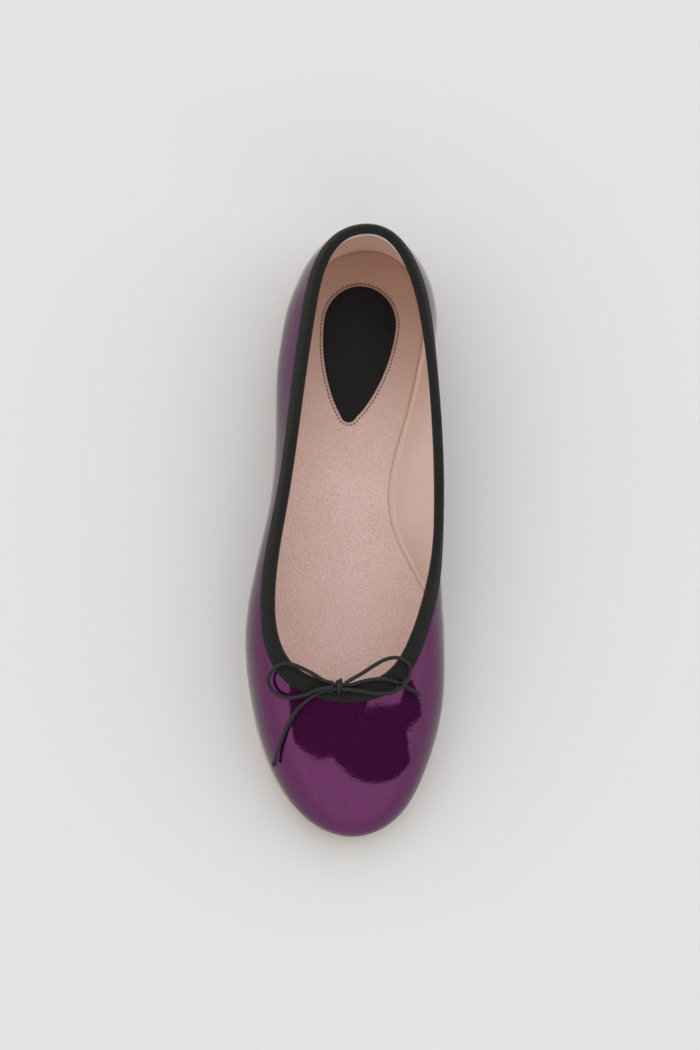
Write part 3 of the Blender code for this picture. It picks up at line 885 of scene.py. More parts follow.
@dataclass
class Upper:
    """Patent skin and leather lining of the one-piece upper."""

    last: Last
    stations: int = 384
    steps: int = 84
    wall_thickness: float = 0.0016
    skin_share: float = 0.52
    margin: float = 0.0060
    feather_radius: float = 0.0016
    ledge_height: float = 0.0064
    ledge_reach: float = 0.0030
    ledge_depth: float = 0.0003
    lining_steps: int = 44
    lining_gap: float = 0.00005
    bend_steps: int = 6
    inner_stride: int = 4
    fade_top: float = 0.16
    fade_foot: float = 0.12

    def build(self) -> None:
        """Make the skin and the lining."""
        rows = self.last.even_rows(self.stations)
        self.make_skin(rows)
        self.make_lining(rows)

    def dent_depth(self, wall: np.ndarray) -> np.ndarray:
        """How far the dents press the skin in at each point of the wall."""
        floor = self.last.rise(wall[:, :, 0]) + self.last.sole_thickness
        up = wall[:, :, 2] - floor
        side = np.sign(wall[:, :, 1] - self.last.middle[1])
        depth = np.zeros(up.shape)
        length = self.last.length
        for dent in DENTS:
            lift = up - dent.up * length
            off = (wall[:, :, 0] - dent.along * length - dent.lean * lift) / (dent.reach_along * length)
            bump = np.exp(-(off**2) - (lift / (dent.reach_up * length)) ** 2)
            depth += np.where(side == dent.side.value, bump, 0) * dent.depth * self.wall_thickness
        return depth

    def make_skin(self, rows: np.ndarray) -> None:
        """Patent skin: turned in under the foot, up the wall, and back down inside."""
        steps = np.linspace(0, 1, self.steps)
        wall = self.last.wall(rows, steps)
        normals = self.last.normals(wall)
        fade = smoothstep((1 - steps) / self.fade_top) * smoothstep(steps / self.fade_foot)
        outer = wall - normals * (self.dent_depth(wall) * fade[:, None])[:, :, None]
        foot = wall[0][:, :2]
        level = self.last.rise(foot[:, 0]) + self.last.sole_thickness + self.last.gap
        corner = wall[0]
        lengths = np.linalg.norm(np.diff(outer[:, 0], axis=0), axis=1)
        above = int(np.searchsorted(np.cumsum(lengths), self.feather_radius)) + 1
        under = np.column_stack([inset(foot, self.feather_radius), level])
        bend = []
        for t in np.linspace(0, 1, self.bend_steps + 1)[:-1]:
            bend.append((1 - t) ** 2 * under + 2 * t * (1 - t) * corner + t**2 * outer[above])
        thickness = self.wall_thickness * self.skin_share
        inner = (wall - normals * thickness)[above :: self.inner_stride][::-1]
        rings = [np.column_stack([inset(foot, self.margin), level])]
        rings += bend + list(outer[above:]) + list(inner)
        for amount in (self.feather_radius + thickness, self.margin):
            rings.append(np.column_stack([inset(foot, amount), level + thickness]))
        mesh = mesh_from_grid("upper_skin", self.last.place(np.array(rings)), True, True)
        add_piece("upper_skin", mesh, PearlPatent(), ("upper",))

    def make_lining(self, rows: np.ndarray) -> None:
        """Lining: a thin leather wall inside the skin, turned in under the insole's edge."""
        wall = self.last.wall(rows, np.linspace(0, 1, self.steps))
        normals = self.last.normals(wall)
        far = wall - normals * self.wall_thickness
        near = wall - normals * (self.wall_thickness * self.skin_share + self.lining_gap)
        foot = wall[0][:, :2]
        level = self.last.rise(foot[:, 0]) + self.ledge_height
        turned = inset(foot, self.ledge_reach)
        start = first_share(far, level)
        shares = np.linspace(0, 1, self.lining_steps)[:, None]
        rings = [np.column_stack([turned, level - drop]) for drop in (self.ledge_depth, 0.0)]
        rings += [along_wall(far, start + (1 - start) * share) for share in shares]
        rings += [along_wall(near, start + (1 - start) * share) for share in shares[::-3]]
        mesh = mesh_from_grid("lining", self.last.place(np.array(rings)), True, True)
        add_piece("lining", mesh, LINING_LEATHER, ("upper",))


def first_share(wall: np.ndarray, level: np.ndarray) -> np.ndarray:
    """Share of the way up the wall at which each station reaches a level."""
    shares = np.linspace(0, 1, len(wall))
    return np.array([np.interp(level[i], wall[:, i, 2], shares) for i in range(wall.shape[1])])


def along_wall(wall: np.ndarray, share: np.ndarray) -> np.ndarray:
    """Points of the wall at a share of the way up at each station."""
    place = share * (len(wall) - 1)
    low = np.clip(np.floor(place).astype(int), 0, len(wall) - 2)
    part = (place - low)[:, None]
    station = np.arange(wall.shape[1])
    return wall[low, station] * (1 - part) + wall[low + 1, station] * part


@dataclass
class Binding:
    """Grosgrain ribbon folded over the topline, with the lining's pale edge below it inside."""

    last: Last
    wall_thickness: float = 0.0016
    ribbon_thickness: float = 0.0006
    outside: float = 0.0056
    outside_side: float = 0.0049
    outside_throat: float = 0.0063
    inside: float = 0.0042
    rib_pitch: float = 0.00110
    rib_height: float = 0.00040
    scallop: float = 0.00045
    puff: float = 0.00035
    puff_power: float = 0.8
    samples: int = 6
    width_places: tuple[float, ...] = (0.0, 0.3, 0.85, 1.0)
    outer_shares: tuple[float, ...] = (0.95, 0.78, 0.6, 0.42, 0.24, 0.08)
    fold_angles: tuple[float, ...] = (25, 60, 90, 120, 155)
    inner_shares: tuple[float, ...] = (0.08, 0.35, 0.65, 0.92)
    edge_radius: float = 0.00050
    edge_out: float = 0.00050
    edge_front: float = 0.046
    edge_sink: float = 0.4
    edge_least: float = 0.25
    edge_stations: int = 1200
    edge_fade: int = 20
    tuck: float = 0.0002
    tuck_share: float = 0.75

    def build(self) -> None:
        """Make the ribbon and the pale edge."""
        self.make_ribbon()
        self.make_edge()

    def make_ribbon(self) -> None:
        """Ribbon: its ribs run across it, and each ends in a small scallop."""
        fine = Collar(self.last, self.last.topline_rows(self.last.fine_stations))
        top = fine.at(0.0, 0.0)
        girth = np.linalg.norm(np.roll(top, -1, axis=0) - top, axis=1).sum()
        ribs = round(girth / self.rib_pitch)
        count = ribs * self.samples
        collar = Collar(self.last, self.last.topline_rows(count))
        phase = (np.arange(count) % self.samples) / self.samples
        rib = np.sqrt(1 - (2 * phase - 1) ** 2)
        near = self.last.gap
        far = near + self.ribbon_thickness - self.rib_height / 2
        inner = -self.wall_thickness
        raised = rib * self.rib_height
        edge = rib * self.scallop
        outside = self.outside_at(collar.at(0.0, 0.0)[:, 0])
        rings = [collar.at(outside - self.tuck, near), collar.at(outside + edge, far * self.tuck_share)]
        for share in self.outer_shares:
            swell = self.puff * math.sin(math.pi * (1 - share) ** self.puff_power)
            rings.append(collar.at(outside * share, far + swell + raised))
        half = self.wall_thickness / 2
        for angle in np.radians(self.fold_angles):
            reach = half + far + raised
            over = collar.over * (math.sin(angle) * (far + raised))[:, None]
            rings.append(collar.at(0.0, -half + math.cos(angle) * reach) + over)
        for share in self.inner_shares:
            rings.append(collar.at(self.inside * share, inner - far - raised))
        rings.append(collar.at(self.inside + edge, inner - far * self.tuck_share))
        rings.append(collar.at(self.inside - self.tuck, inner - near))
        rings += [collar.at(0.0, out, near) for out in (inner - near, near)]
        grid = np.array(rings)
        way = np.arange(count + 1) / self.samples * self.rib_pitch
        across = way_along(grid[:, 0])
        across = np.append(across, across[-1] + self.outside)
        flat = np.stack(np.meshgrid(across, way, indexing="ij")[::-1], axis=2)
        mesh = mesh_from_grid("binding", self.last.place(grid), True, True, flat)
        add_piece("binding", mesh, Grosgrain(), ("topline_binding",))

    def outside_at(self, along: np.ndarray) -> np.ndarray:
        """Width that shows outside: drawn tight along the sides, full at the throat."""
        share = (along - along.min()) / np.ptp(along)
        widths = (self.outside, self.outside_side, self.outside_side, self.outside_throat)
        return np.interp(share, self.width_places, widths)

    def make_edge(self) -> None:
        """Pale cut edge of the lining, which peeks out below the ribbon round the heel."""
        collar = Collar(self.last, self.last.topline_rows(self.edge_stations))
        half = self.edge_stations // 2
        face = self.wall_thickness + self.last.gap + self.ribbon_thickness
        line = collar.at(self.inside + self.edge_radius * self.edge_sink, -face - self.edge_out)
        shown = line[:, 0] < self.edge_front
        first = int(np.argmax(~shown))
        path = np.concatenate([line[half:][shown[half:]], line[:first]])
        ends = np.minimum(np.arange(len(path)), np.arange(len(path))[::-1])
        grown = (1 - self.edge_least) * smoothstep(ends / self.edge_fade)
        radius = self.edge_radius * (self.edge_least + grown)
        mesh = tube_mesh("lining_edge", self.last.place(path), radius, 8)
        add_piece("lining_edge", mesh, RAW_EDGE)


def spine(outline: np.ndarray) -> np.ndarray:
    """Point of the outline's middle line for each of its points."""
    low, high = outline[:, 0].min(), outline[:, 0].max()
    width = np.ptp(outline[:, 1])
    along = np.clip(outline[:, 0], low + width * SPINE_END, high - width * SPINE_END)
    first, last = int(np.argmin(outline[:, 0])), int(np.argmax(outline[:, 0]))
    order = np.roll(outline, -first, axis=0)
    turn = (last - first) % len(outline)
    up, down = order[: turn + 1], np.vstack([order[turn:], order[:1]])[::-1]
    sides = []
    for side in (up, down):
        rising = np.maximum.accumulate(side[:, 0])
        sides.append(np.interp(along, rising, side[:, 1]))
    return np.column_stack([along, (sides[0] + sides[1]) / 2])


@dataclass
class Slabs:
    """Pieces that are slabs with a shaped edge, filled with rings that shrink to a middle line."""

    last: Last
    fills: int = 12

    def slab_rings(
        self,
        edge_at: Callable[[float], np.ndarray],
        profile: list[tuple[float, float]],
        bent: bool,
        fills: int,
    ) -> np.ndarray:
        """Rings up the edge of a slab and over both its faces.

        Args:
            edge_at: Gives the closed line of along, across points for an inset.
            profile: Inset and height of each ring up the edge.
            bent: Follow the sole's rise.
            fills: Rings over each face.

        Returns:
            Along, across, height of the rings, from the middle of the lower face to that of the upper.
        """
        centre = spine(edge_at(0.0))
        edges = [(edge_at(amount), height) for amount, height in profile]
        low, high = edges[0], edges[-1]
        shares = np.linspace(0, INNERMOST_RING, fills + 1)[1:]
        under = [(low[0] + (centre - low[0]) * share, low[1]) for share in shares[::-1]]
        over = [(high[0] + (centre - high[0]) * share, high[1]) for share in shares]
        rings = []
        for flat, height in under + edges + over:
            lift = self.last.rise(flat[:, 0]) if bent else np.zeros(len(flat))
            rings.append(np.column_stack([flat, lift + height]))
        return np.array(rings)

    def add_slab(
        self,
        name: str,
        edge_at: Callable[[float], np.ndarray],
        profile: list[tuple[float, float]],
        finish: Finish,
        slot: Slot,
        replaced: str,
        bent: bool,
        fills: int | None = None,
    ) -> None:
        """Make a slab and add it.

        Args:
            name: Name of the piece.
            edge_at: Gives the closed line of along, across points for an inset.
            profile: Inset and height of each ring up the edge.
            finish: Finish of the surface.
            slot: Material slot of the record; not used.
            replaced: Solid that the piece stands for.
            bent: Follow the sole's rise.
            fills: Rings over each face, if not the class's own number.
        """
        rings = self.slab_rings(edge_at, profile, bent, fills or self.fills)
        mesh = mesh_from_grid(name, self.last.place(rings), wrap_rows=False, wrap_columns=True)
        add_piece(name, mesh, finish, (replaced,))


@dataclass
class Sole(Slabs):
    """Outsole, stacked heel and lift."""

    stations: int = 300
    margin: float = 0.0003
    edge: float = 0.0006
    heel_length: float = 0.0560
    heel_taper: float = 0.0012
    breast_hollow: float = 0.0025
    back_points: int = 140
    breast_points: int = 50
    lift_thickness: float = 0.0020
    board_layers: int = 2
    layer_groove: float = 0.00018

    def build(self) -> None:
        """Make the three pieces."""
        outline = inset(self.last.foot(self.last.even_rows(self.stations)), -self.margin)
        thickness = self.last.sole_thickness
        edge = self.edge
        # inset and height of each ring: a rounded tread edge, a straight side, a softer top
        profile = [
            (edge * 1.6, 0.0),
            (edge * 0.7, edge * 0.15),
            (edge * 0.15, edge * 0.7),
            (0.0, edge * 1.5),
            (0.0, thickness * 0.7),
            (edge * 0.12, thickness - edge * 0.3),
            (edge * 0.5, thickness),
        ]
        whole, seat = partial(inset, outline), partial(self.heel_outline, outline)
        self.add_slab("sole_leather", whole, profile, SOLE_LEATHER, Slot.OUTSOLE, "outsole", bent=True)
        low = self.lift_thickness + self.last.gap
        high = self.last.seat_height - self.last.gap
        heel_profile = [(self.heel_taper + edge / 2, low), (self.heel_taper, low + edge / 3)]
        for layer in range(1, self.board_layers):
            share = layer / self.board_layers
            middle = low + (high - low) * share
            taper = self.heel_taper * (1 - share)
            groove = self.layer_groove
            heel_profile += [(taper, middle - groove), (taper + groove, middle), (taper, middle + groove)]
        heel_profile += [(0.0, high - edge / 3), (edge / 2, high)]
        self.add_slab("heel_stack", seat, heel_profile, HEEL_BOARD, Slot.HEEL, "heel", bent=False)
        lift_profile = [
            (self.heel_taper + edge, 0.0),
            (self.heel_taper + edge * 0.3, edge * 0.3),
            (self.heel_taper, edge),
            (self.heel_taper, self.lift_thickness - edge / 3),
            (self.heel_taper + edge / 3, self.lift_thickness),
        ]
        self.add_slab("heel_lift_rubber", seat, lift_profile, LIFT_RUBBER, Slot.LIFT, "heel_lift", bent=False)

    def heel_outline(self, outline: np.ndarray, amount: float) -> np.ndarray:
        """Back part of the sole's outline, moved in and closed by a slightly hollow breast.

        Args:
            outline: Outline of the sole, from the heel round.
            amount: How far the heel's side and its breast are moved in.

        Returns:
            The heel's outline, from one corner of the breast round the back to the other.
        """
        front = self.heel_length - amount
        moved = inset(outline, self.edge + amount)
        order = np.roll(moved, len(moved) // 2, axis=0)
        first, last = np.flatnonzero(order[:, 0] < front)[[0, -1]]
        corners = [
            before + (after - before) * (front - before[0]) / (after[0] - before[0])
            for before, after in (order[first - 1 : first + 1], order[last : last + 2])
        ]
        back = np.vstack([corners[0], order[first : last + 1], corners[1]])
        way = way_along(back)
        back = points_at(back, way, np.linspace(0, way[-1], self.back_points))
        share = np.linspace(0, 1, self.breast_points + 2)[1:-1]
        across = corners[1][1] + (corners[0][1] - corners[1][1]) * share
        along = front - self.breast_hollow * 4 * share * (1 - share)
        return np.vstack([back, np.column_stack([along, across])])


@dataclass
class Insole(Slabs):
    """Leather insole, its black heel pad and the line of stitches round the pad."""

    fills: int = 26
    pad_fills: int = 9
    stations: int = 320
    wall_thickness: float = 0.0016
    fit: float = 0.0004
    thickness: float = 0.0020
    roll: float = 0.0007
    pad_back: float = 0.0202
    pad_length: float = 0.0586
    pad_width: float = 0.0300
    pad_round: float = 0.55
    pad_tip_power: float = 0.65
    pad_tip_radius: float = 0.0033
    pad_thickness: float = 0.0008
    pad_lean: float = math.radians(5.9)
    pad_offset: float = 0.0003
    pad_edge: float = 0.0004
    rim_width: float = 0.0011
    rim_depth: float = 0.00006
    stitch_offset: float = 0.0013
    stitch_pitch: float = 0.00160
    stitch_length: float = 0.00110
    stitch_radius: float = 0.00025
    stitch_rise: float = 1.1
    stitch_sink: float = 0.35
    stitch_least: float = 0.35

    def build(self) -> None:
        """Make the insole, the pad and the stitches."""
        self.make_insole()
        outline = self.pad_outline(96)
        self.make_pad(outline)
        self.make_stitches(outline)

    def top(self) -> float:
        """Height of the insole's upper face above the outsole's underside."""
        return self.last.sole_thickness + self.wall_thickness + 2 * self.last.gap + self.thickness

    def make_insole(self) -> None:
        """Insole: its edge is rolled down against the lining."""
        foot = self.last.foot(self.last.even_rows(self.stations))
        rim = inset(foot, self.wall_thickness + self.fit)
        high = self.top()
        low = high - self.thickness
        roll = self.roll
        profile = [
            (0.0, low),
            (0.0, high - roll),
            (roll * 0.15, high - roll * 0.5),
            (roll * 0.5, high - roll * 0.15),
            (roll, high),
        ]
        edge_at = partial(inset, rim)
        self.add_slab("insole_sock", edge_at, profile, INSOLE_LEATHER, Slot.INSOLE, "insole", bent=True)

    def pad_outline(self, count: int) -> np.ndarray:
        """Teardrop, round at the back and pointed towards the toe.

        Args:
            count: Points from the back to the tip on each side.

        Returns:
            Closed line of along, across points, about evenly spaced.
        """
        back_part = self.pad_width * self.pad_round
        turn = np.linspace(0, math.pi / 2, count)
        front = np.sin(turn)[1:]
        down = np.concatenate(
            [back_part * (1 - np.cos(turn)), back_part + (self.pad_length - back_part) * front]
        )
        narrowing = np.cos(front * math.pi / 2) ** self.pad_tip_power
        half = self.pad_width / 2 * np.concatenate([np.sin(turn), narrowing])
        from_tip = down - (self.pad_length - self.pad_tip_radius)
        tip = np.sqrt(np.clip(self.pad_tip_radius**2 - np.clip(from_tip, 0, None) ** 2, 0, None))
        half = np.where(from_tip > 0, np.maximum(half, tip), half)
        line = np.vstack([np.column_stack([down, half]), np.column_stack([down, -half])[1:-1][::-1]])
        cos, sin = math.cos(self.pad_lean), math.sin(self.pad_lean)
        along = self.pad_back + line[:, 0] * cos + line[:, 1] * sin
        across = self.pad_offset - line[:, 0] * sin + line[:, 1] * cos
        outline = np.column_stack([along, across])
        closed = np.vstack([outline, outline[:1]])
        way = way_along(closed)
        return points_at(closed, way, np.linspace(0, way[-1], 4 * count, endpoint=False))

    def make_pad(self, outline: np.ndarray) -> None:
        """Pad: a raised rim, a pressed line inside it and a slightly full middle."""
        low = self.top()
        high = low + self.last.gap + self.pad_thickness
        edge, rim, dent = self.pad_edge, self.rim_width, self.rim_depth
        profile = [
            (0.0, low),
            (0.0, high - edge),
            (edge * 0.25, high - edge * 0.375),
            (edge * 0.75, high),
            (rim * 0.75, high),
            (rim, high - dent),
            (rim * 1.3, high - dent * 0.9),
            (rim * 1.8, high - dent * 0.15),
        ]
        self.add_slab(
            "heel_pad_leather", partial(inset, outline), profile, PAD_LEATHER, Slot.HEEL_PAD, "heel_pad",
            bent=True, fills=self.pad_fills,
        )

    def make_stitches(self, outline: np.ndarray) -> None:
        """Stitches: short thread humps, sunk a little in the leather, joined as one mesh."""
        line = inset(outline, -self.stitch_offset)
        closed = np.vstack([line, line[:1]])
        way = way_along(closed)
        count = round(way[-1] / self.stitch_pitch)
        grids = []
        for place in np.arange(count) * way[-1] / count:
            shares = np.linspace(-0.5, 0.5, 7)
            at = (place + shares * self.stitch_length) % way[-1]
            flat = points_at(closed, way, at)
            hump = self.stitch_radius * (self.stitch_rise * np.cos(shares * math.pi) - self.stitch_sink)
            path = np.column_stack([flat, self.last.rise(flat[:, 0]) + self.top() + hump])
            full = self.stitch_least + (1 - self.stitch_least) * np.cos(shares * math.pi)
            radius = self.stitch_radius * full
            grids.append(sweep(self.last.place(path), radius, 8))
        add_piece("pad_stitches", join_grids("pad_stitches", grids), PAD_THREAD)


def join_grids(name: str, grids: list[np.ndarray]) -> bpy.types.Mesh:
    """One mesh of many closed tubes, each a grid of rings.

    Args:
        name: Name of the mesh.
        grids: Rings of points of each tube.

    Returns:
        The joined mesh.
    """
    points, faces, start = [], [], 0
    for grid in grids:
        rings, sides = grid.shape[:2]
        part = mesh_from_grid(name, grid, wrap_rows=False, wrap_columns=True)
        faces += [[start + index for index in face.vertices] for face in part.polygons]
        points += grid.reshape(-1, 3).tolist()
        start += rings * sides
        bpy.data.meshes.remove(part)
    mesh = bpy.data.meshes.new(name)
    mesh.from_pydata(points, [], faces)
    mesh.shade_smooth()
    return mesh


BOW_RUNS = {
    # millimetres from the toe end of the topline, along each run from the knot outwards
    "bow_left_loop": [
        (-6.1, 0.7, 3.1), (-8.9, 1.3, 2.7), (-13.5, 3.9, 2.3), (-18.2, 6.2, 2.3), (-22.9, 7.7, 2.5),
        (-26.4, 7.7, 2.2), (-29.6, 5.7, 0.7), (-31.4, 3.5, -1.9), (-31.5, 1.0, -3.5),
        (-29.5, -2.4, -3.9), (-25.9, -4.7, -2.8), (-21.4, -5.1, -1.5), (-16.9, -4.2, 0.1),
        (-12.5, -2.4, 2.5), (-8.9, -1.6, 3.3), (-6.0, -1.0, 3.6),
    ],
    "bow_right_loop": [
        (-0.8, 0.9, 3.3), (1.6, 2.4, 3.2), (5.7, 4.9, 3.2), (10.3, 8.1, 3.2), (14.8, 10.7, 3.2),
        (19.0, 11.7, 2.9), (22.8, 10.7, 2.3), (25.0, 8.0, 1.0), (25.0, 5.3, 0.6), (23.1, 1.5, 1.0),
        (20.8, -0.7, 0.8), (16.6, -2.5, 1.2), (12.0, -2.8, 1.5), (5.1, -2.1, 2.1), (-0.8, -1.6, 3.2),
    ],
    "bow_left_end": [
        (-5.7, -2.3, 2.0), (-8.7, -2.2, 1.7), (-12.3, -3.6, 0.9), (-16.2, -6.4, -1.2),
        (-19.6, -9.9, -3.4), (-22.5, -14.7, -6.2), (-24.7, -20.3, -9.9), (-26.4, -25.4, -14.1),
        (-27.1, -29.2, -17.8),
    ],
    "bow_right_end": [
        (-0.8, -0.5, 1.9), (2.3, 0.5, 2.0), (7.3, 2.1, 2.1), (13.3, 3.0, 2.0), (18.0, 2.5, 1.7),
        (22.4, 1.1, -0.7), (25.8, -0.2, -2.2), (28.1, -1.3, -3.3),
    ],
}
BEADED_RUNS = {"bow_left_end": "bow_left_bead", "bow_right_end": "bow_right_bead"}


@dataclass
class Bow:
    """Bow of round cord: a wrapped knot, two loops and two ends with knotted tips."""

    last: Last
    diameter: float = 0.0014
    bead_diameter: float = 0.0022
    knot_place: tuple[float, float, float] = (-3.5, -0.8, 2.8)
    wrap_reach: float = 0.0020
    wrap_rise: float = 0.0011
    wrap_turns: float = 1.62
    wrap_start: float = -0.32
    wrap_points: int = 90
    wrap_drift: float = 0.0017
    strands: tuple[tuple[float, float], ...] = ((0.0006, 0.0003), (-0.0007, 0.0002), (-0.0002, -0.0006))
    strand_reach: float = 0.0030
    strand_bend: float = 0.0002
    tip_from: tuple[float, float, float] = (0.0002, 0.0016, 0.0011)
    tip_by: tuple[float, float, float] = (0.0004, 0.0015, 0.0007)
    coil_radius: float = 0.27
    coil_turns: float = 1.25
    coil_drift: float = 0.2
    core_span: tuple[float, float] = (-0.62, 0.55)
    swell: float = 0.0001
    spacing: float = 0.0003
    fine_points: int = 400
    sides: int = 16

    def build(self) -> None:
        self.throat = self.last.throat()
        knot = self.make_knot()
        for name, points in BOW_RUNS.items():
            line = self.smooth_run(points, self.spacing)
            mesh = tube_mesh(name, line, self.diameter / 2 + self.swell, self.sides)
            run = add_piece(f"{name}_cord", mesh, WAXED_CORD, (name,))
            with_pieces = [knot]
            if name in BEADED_RUNS:
                with_pieces = [self.make_bead(BEADED_RUNS[name], line)]

    def smooth_run(self, points: list[tuple[float, float, float]], spacing: float) -> np.ndarray:
        """Points at an even spacing along a smooth curve through the run's own.

        Args:
            points: Points of the run, in millimetres from the throat.
            spacing: Distance between the points returned.

        Returns:
            Points in the object's frame.
        """
        points = self.throat + np.array(points) * MM
        place = way_along(points)
        slope = np.gradient(points, place, axis=0)
        fine = np.linspace(0, place[-1], self.fine_points)
        i = np.clip(np.searchsorted(place, fine, side="right") - 1, 0, len(place) - 2)
        span = (place[i + 1] - place[i])[:, None]
        t = ((fine - place[i])[:, None]) / span
        curve = (
            (2 * t**3 - 3 * t**2 + 1) * points[i]
            + (t**3 - 2 * t**2 + t) * span * slope[i]
            + (3 * t**2 - 2 * t**3) * points[i + 1]
            + (t**3 - t**2) * span * slope[i + 1]
        )
        way = way_along(curve)
        even = np.linspace(0, way[-1], max(2, round(way[-1] / spacing) + 1))
        return points_at(curve, way, even)

    def make_knot(self) -> bpy.types.Object:
        """Knot: one strand wrapped over the crossing, the strands inside it and a tucked tip."""
        centre = self.throat + np.array(self.knot_place) * MM
        radius = self.diameter / 2 + self.swell
        end = self.wrap_turns + self.wrap_start
        turn = np.linspace(self.wrap_start, end, self.wrap_points) * math.tau
        share = np.linspace(-0.5, 0.5, self.wrap_points)
        wrap = centre + np.column_stack(
            [share * self.wrap_drift, np.cos(turn) * self.wrap_reach, np.sin(turn) * self.wrap_rise]
        )
        grids = [sweep(wrap, radius * (1 - 0.5 * np.abs(2 * share) ** 12), 14)]
        reach = np.linspace(-1, 1, 24)
        for across, rise in self.strands:
            bent = (reach * self.strand_reach, across * (1 + reach**2), rise + self.strand_bend * reach**2)
            inside = centre + np.column_stack(bent)
            grids.append(sweep(inside, radius * 0.98, 12))
        lift = np.linspace(0, 1, 16)
        ways = (lift, lift, np.sin(lift * math.pi * 0.7))
        moved = [start + by * way for start, by, way in zip(self.tip_from, self.tip_by, ways)]
        tip = centre + np.column_stack(moved)
        grids.append(sweep(tip, radius * np.sqrt(np.clip(1.02 - lift**4, 0.02, 1)), 12))
        mesh = join_grids("bow_knot", grids)
        return add_piece("bow_knot_wrap", mesh, WAXED_CORD, ("bow_knot",))

    def make_bead(self, node: str, line: np.ndarray) -> bpy.types.Object:
        """Tip of an end: the cord knotted once on itself and trimmed.

        Args:
            node: Solid that the tip stands for.
            line: Points of the end's centreline.

        Returns:
            The tip's object.
        """
        heading = line[-1] - line[-2]
        heading /= np.linalg.norm(heading)
        across = np.cross(heading, [0.0, 0.0, 1.0])
        across /= np.linalg.norm(across)
        up = np.cross(across, heading)
        centre = line[-1] + heading * (self.bead_diameter / 2)
        thin = self.bead_diameter * self.coil_radius
        reach = self.bead_diameter / 2 - thin
        turn = np.linspace(0, self.coil_turns, 48) * math.tau
        drift = np.linspace(-1, 1, 48)[:, None] * self.bead_diameter * self.coil_drift
        coil = centre + heading * drift + (
            across * np.cos(turn)[:, None] + up * np.sin(turn)[:, None]
        ) * reach
        core_way = np.linspace(*self.core_span, 16)[:, None] * self.bead_diameter
        core = centre + heading * core_way
        grids = [sweep(coil, thin, 12), sweep(core, self.diameter / 2 * 0.95, 12)]
        return add_piece(f"{node}_tip", join_grids(node, grids), WAXED_CORD, (node,))


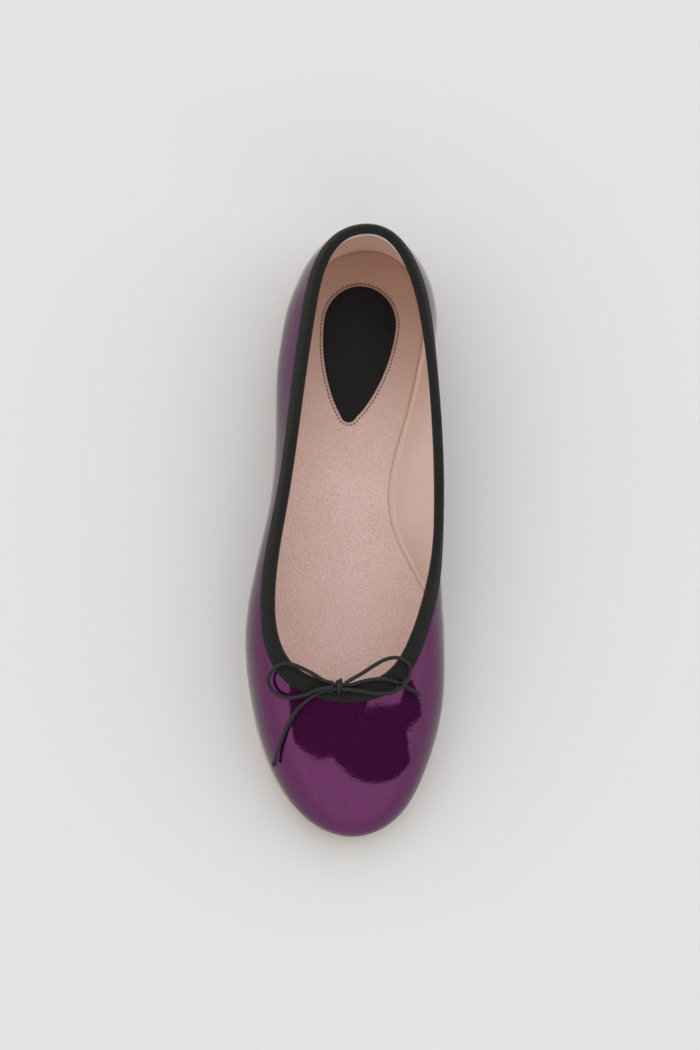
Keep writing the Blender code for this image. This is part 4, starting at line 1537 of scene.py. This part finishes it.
@dataclass
class Studio:
    """Pale floor in a light tent, and the camera that looks in through the tent's slot.

    The tent is white all round and a little darker towards the floor. Its slot is dark, and made
    up of panels. A panel lies on the far side of each of its edges, which are planes through the
    shoe with their normals pointing into the panel.
    """

    floor_colour: str = "#ebebea"
    floor_size: float = 60.0
    floor_roughness: float = 0.9
    floor_specular: float = 0.2
    tent_colour: str = "#ffffff"
    tent_strength: float = 1.14
    tent_low: float = 0.70
    tent_rise: float = 0.45
    slot_colour: str = "#141414"
    slot_left: Panel = ((0.82, -1.0, 0.0), (-0.41, 1.0, 0.62), (-1.0, 0.0, 0.28), (0.0, -1.0, -0.15))
    slot_middle: Panel = ((0.82, -1.0, 0.0), (0.33, 1.0, 0.74), (-0.12, -1.0, -0.32), (-0.41, -1.0, 0.0))
    slot_right: Panel = ((0.34, -1.0, -0.76), (-0.22, -1.0, 0.0), (0.2, 1.0, 0.42))
    slot_edge: float = 0.008
    target: tuple[float, float, float] = (0.0005, 0.002, 0.02)
    distance: float = 1.200
    toe_tilt: float = math.radians(11.0)
    side_tilt: float = math.radians(5.0)
    roll: float = math.radians(1.2)
    lens: float = 100.0
    sensor: float = 36.0

    def build(self) -> None:
        """Make the floor, the tent and the camera."""
        self.make_camera()
        self.make_floor()
        self.make_tent()

    def make_camera(self) -> None:
        """Camera above the shoe, tilted towards the toe and to one side, and rolled."""
        target = Vector(self.target)
        back = Vector((-math.tan(self.side_tilt), -math.tan(self.toe_tilt), 1.0)).normalized()
        forward = -back
        right = forward.cross(Vector((0.0, 1.0, 0.0))).normalized()
        up = right.cross(forward)
        cos, sin = math.cos(self.roll), math.sin(self.roll)
        rolled_right = right * cos + up * sin
        rolled_up = up * cos - right * sin
        data = bpy.data.cameras.new("camera")
        data.lens = self.lens
        data.sensor_width = self.sensor
        camera = bpy.data.objects.new("camera", data)
        turn = Matrix((rolled_right, rolled_up, back)).transposed().to_4x4()
        camera.matrix_world = Matrix.Translation(target + back * self.distance) @ turn
        bpy.context.scene.collection.objects.link(camera)
        bpy.context.scene.camera = camera

    def make_floor(self) -> None:
        """Plain pale floor, wide enough for every view."""
        half = self.floor_size / 2
        mesh = bpy.data.meshes.new("floor")
        corners = [(-half, -half, 0.0), (half, -half, 0.0), (half, half, 0.0), (-half, half, 0.0)]
        mesh.from_pydata(corners, [], [(0, 1, 2, 3)])
        material = bpy.data.materials.new("painted_floor")
        material.use_nodes = True
        shader = material.node_tree.nodes["Principled BSDF"]
        feed(shader, {
            "Base Color": linear(self.floor_colour),
            "Roughness": self.floor_roughness,
            "Specular IOR Level": self.floor_specular,
        })
        mesh.materials.append(material)
        floor = bpy.data.objects.new("floor", mesh)
        bpy.context.scene.collection.objects.link(floor)

    def make_tent(self) -> None:
        """White light from all round but for the dark slot, and a plain rendering of colours."""
        world = bpy.data.worlds.new("light_tent")
        world.use_nodes = True
        tree = world.node_tree
        add = partial(add_node, tree)
        direction = add("ShaderNodeTexCoord", {}).outputs["Generated"]
        height = add("ShaderNodeSeparateXYZ", {0: direction}).outputs["Z"]
        panels = []
        for edges in (self.slot_left, self.slot_middle, self.slot_right):
            beyonds = [self.beyond(tree, direction, edge) for edge in edges]
            panels.append(self.extreme(tree, beyonds, "MINIMUM"))
        inside = self.extreme(tree, panels, "MAXIMUM")
        slot = add("ShaderNodeMapRange", {0: inside, 1: 0.0, 2: self.slot_edge}).outputs[0]
        tones = {0: slot, 6: linear(self.tent_colour), 7: linear(self.slot_colour)}
        colour = add("ShaderNodeMix", tones, data_type="RGBA").outputs[2]
        low = self.tent_strength * self.tent_low
        strength = add(
            "ShaderNodeMapRange",
            {0: height, 1: 0.0, 2: self.tent_rise, 3: low, 4: self.tent_strength},
            interpolation_type="SMOOTHSTEP",
        ).outputs[0]
        feed(tree.nodes["Background"], {"Color": colour, "Strength": strength})
        bpy.context.scene.world = world
        bpy.context.scene.view_settings.view_transform = "Standard"

    def extreme(
        self, tree: bpy.types.NodeTree, values: list[bpy.types.NodeSocket], operation: str
    ) -> bpy.types.NodeSocket:
        """Least or greatest of several values."""
        found = values[0]
        for value in values[1:]:
            found = add_node(tree, "ShaderNodeMath", {0: found, 1: value}, operation=operation).outputs[0]
        return found

    def beyond(
        self, tree: bpy.types.NodeTree, direction: bpy.types.NodeSocket, edge: tuple[float, float, float]
    ) -> bpy.types.NodeSocket:
        """How far a direction lies beyond an edge of the slot, about in radians."""
        normal = tuple(Vector(edge).normalized())
        return add_node(
            tree, "ShaderNodeVectorMath", {0: direction, 1: normal}, operation="DOT_PRODUCT"
        ).outputs["Value"]


def main() -> None:
    """Build the shoe's looks and the studio."""
    logging.basicConfig(level=logging.INFO, format="%(message)s")
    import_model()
    last = Last()
    Studio().build()
    Bow(last).build()
    Upper(last).build()
    Binding(last).build()
    Insole(last).build()
    Sole(last).build()


if __name__ == "__main__":
    main()
